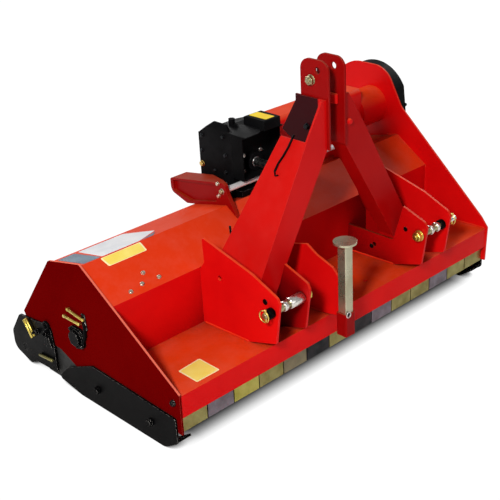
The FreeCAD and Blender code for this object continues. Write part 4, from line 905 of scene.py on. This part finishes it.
studio = {"fill": 0.08, "white": 1.05, "inGloss": 0.3}
world = bpy.data.worlds.new("studio")
world.use_nodes = True
bpy.context.scene.world = world
path = addNode(world.node_tree, "ShaderNodeLightPath")
inGloss = mathNode(world.node_tree, "MULTIPLY", path.outputs["Is Glossy Ray"], studio["inGloss"])
seen = mathNode(world.node_tree, "MAXIMUM", path.outputs["Is Camera Ray"], inGloss)
background = world.node_tree.nodes["Background"]
background.inputs["Color"].default_value = rgb(1.0, 1.0, 1.0)
feed(world.node_tree, background.inputs["Strength"],
     remap(world.node_tree, seen, 0.0, 1.0, studio["fill"], studio["white"]))

lamps = {
    "keyLamp": {"place": (-4.4, -2.7, 3.9), "size": 0.9, "power": 320, "color": (1.0, 0.97, 0.93)},
    "fillLamp": {"place": (-0.6, -5.0, 2.2), "size": 2.4, "power": 26, "color": (1.0, 0.98, 0.97)},
    "backLamp": {"place": (0.6, 4.6, 3.4), "size": 3.0, "power": 190, "color": (1.0, 1.0, 1.0)},
    "sideLamp": {"place": (4.8, 0.4, 2.6), "size": 3.0, "power": 110, "color": (1.0, 1.0, 1.0)},
}
lampTarget = Vector((0, 0, 0.4))
for name, lamp in lamps.items():
    lampData = bpy.data.lights.new(name, "AREA")
    lampData.shape = "DISK"
    lampData.size = lamp["size"]
    lampData.energy = lamp["power"]
    lampData.color = lamp["color"]
    lampObject = bpy.data.objects.new(name, lampData)
    lampObject.location = lamp["place"]
    lampObject.rotation_euler = (lampTarget - Vector(lamp["place"])).to_track_quat("-Z", "Y").to_euler()
    bpy.context.scene.collection.objects.link(lampObject)

# The camera was fitted to the photograph: its place from the lip, its turns in degrees, its lens.
view = {"place": (-2660.3, -2330.2, 1926.2), "yaw": 44.506, "pitch": 26.641, "roll": -2.285,
        "lens": 75.007, "sensor": 36, "shift": (-0.0686, 0.035)}
yaw, pitch, roll = (math.radians(view[key]) for key in ("yaw", "pitch", "roll"))
forward = Vector((math.sin(yaw) * math.cos(pitch), math.cos(yaw) * math.cos(pitch), -math.sin(pitch)))
level = Vector((math.cos(yaw), -math.sin(yaw), 0))
upright = level.cross(forward)
right = math.cos(roll) * level + math.sin(roll) * upright
up = -math.sin(roll) * level + math.cos(roll) * upright
cameraData = bpy.data.cameras.new("camera")
cameraData.lens = view["lens"]
cameraData.sensor_width = view["sensor"]
cameraData.shift_x, cameraData.shift_y = view["shift"]
camera = bpy.data.objects.new("camera", cameraData)
cameraTurn = Matrix((right, up, -forward)).transposed()
camera.matrix_world = Matrix.Translation(at(*view["place"])) @ cameraTurn.to_4x4()
bpy.context.scene.collection.objects.link(camera)
bpy.context.scene.camera = camera
bpy.context.scene.view_settings.view_transform = "Standard"
print("stage set")
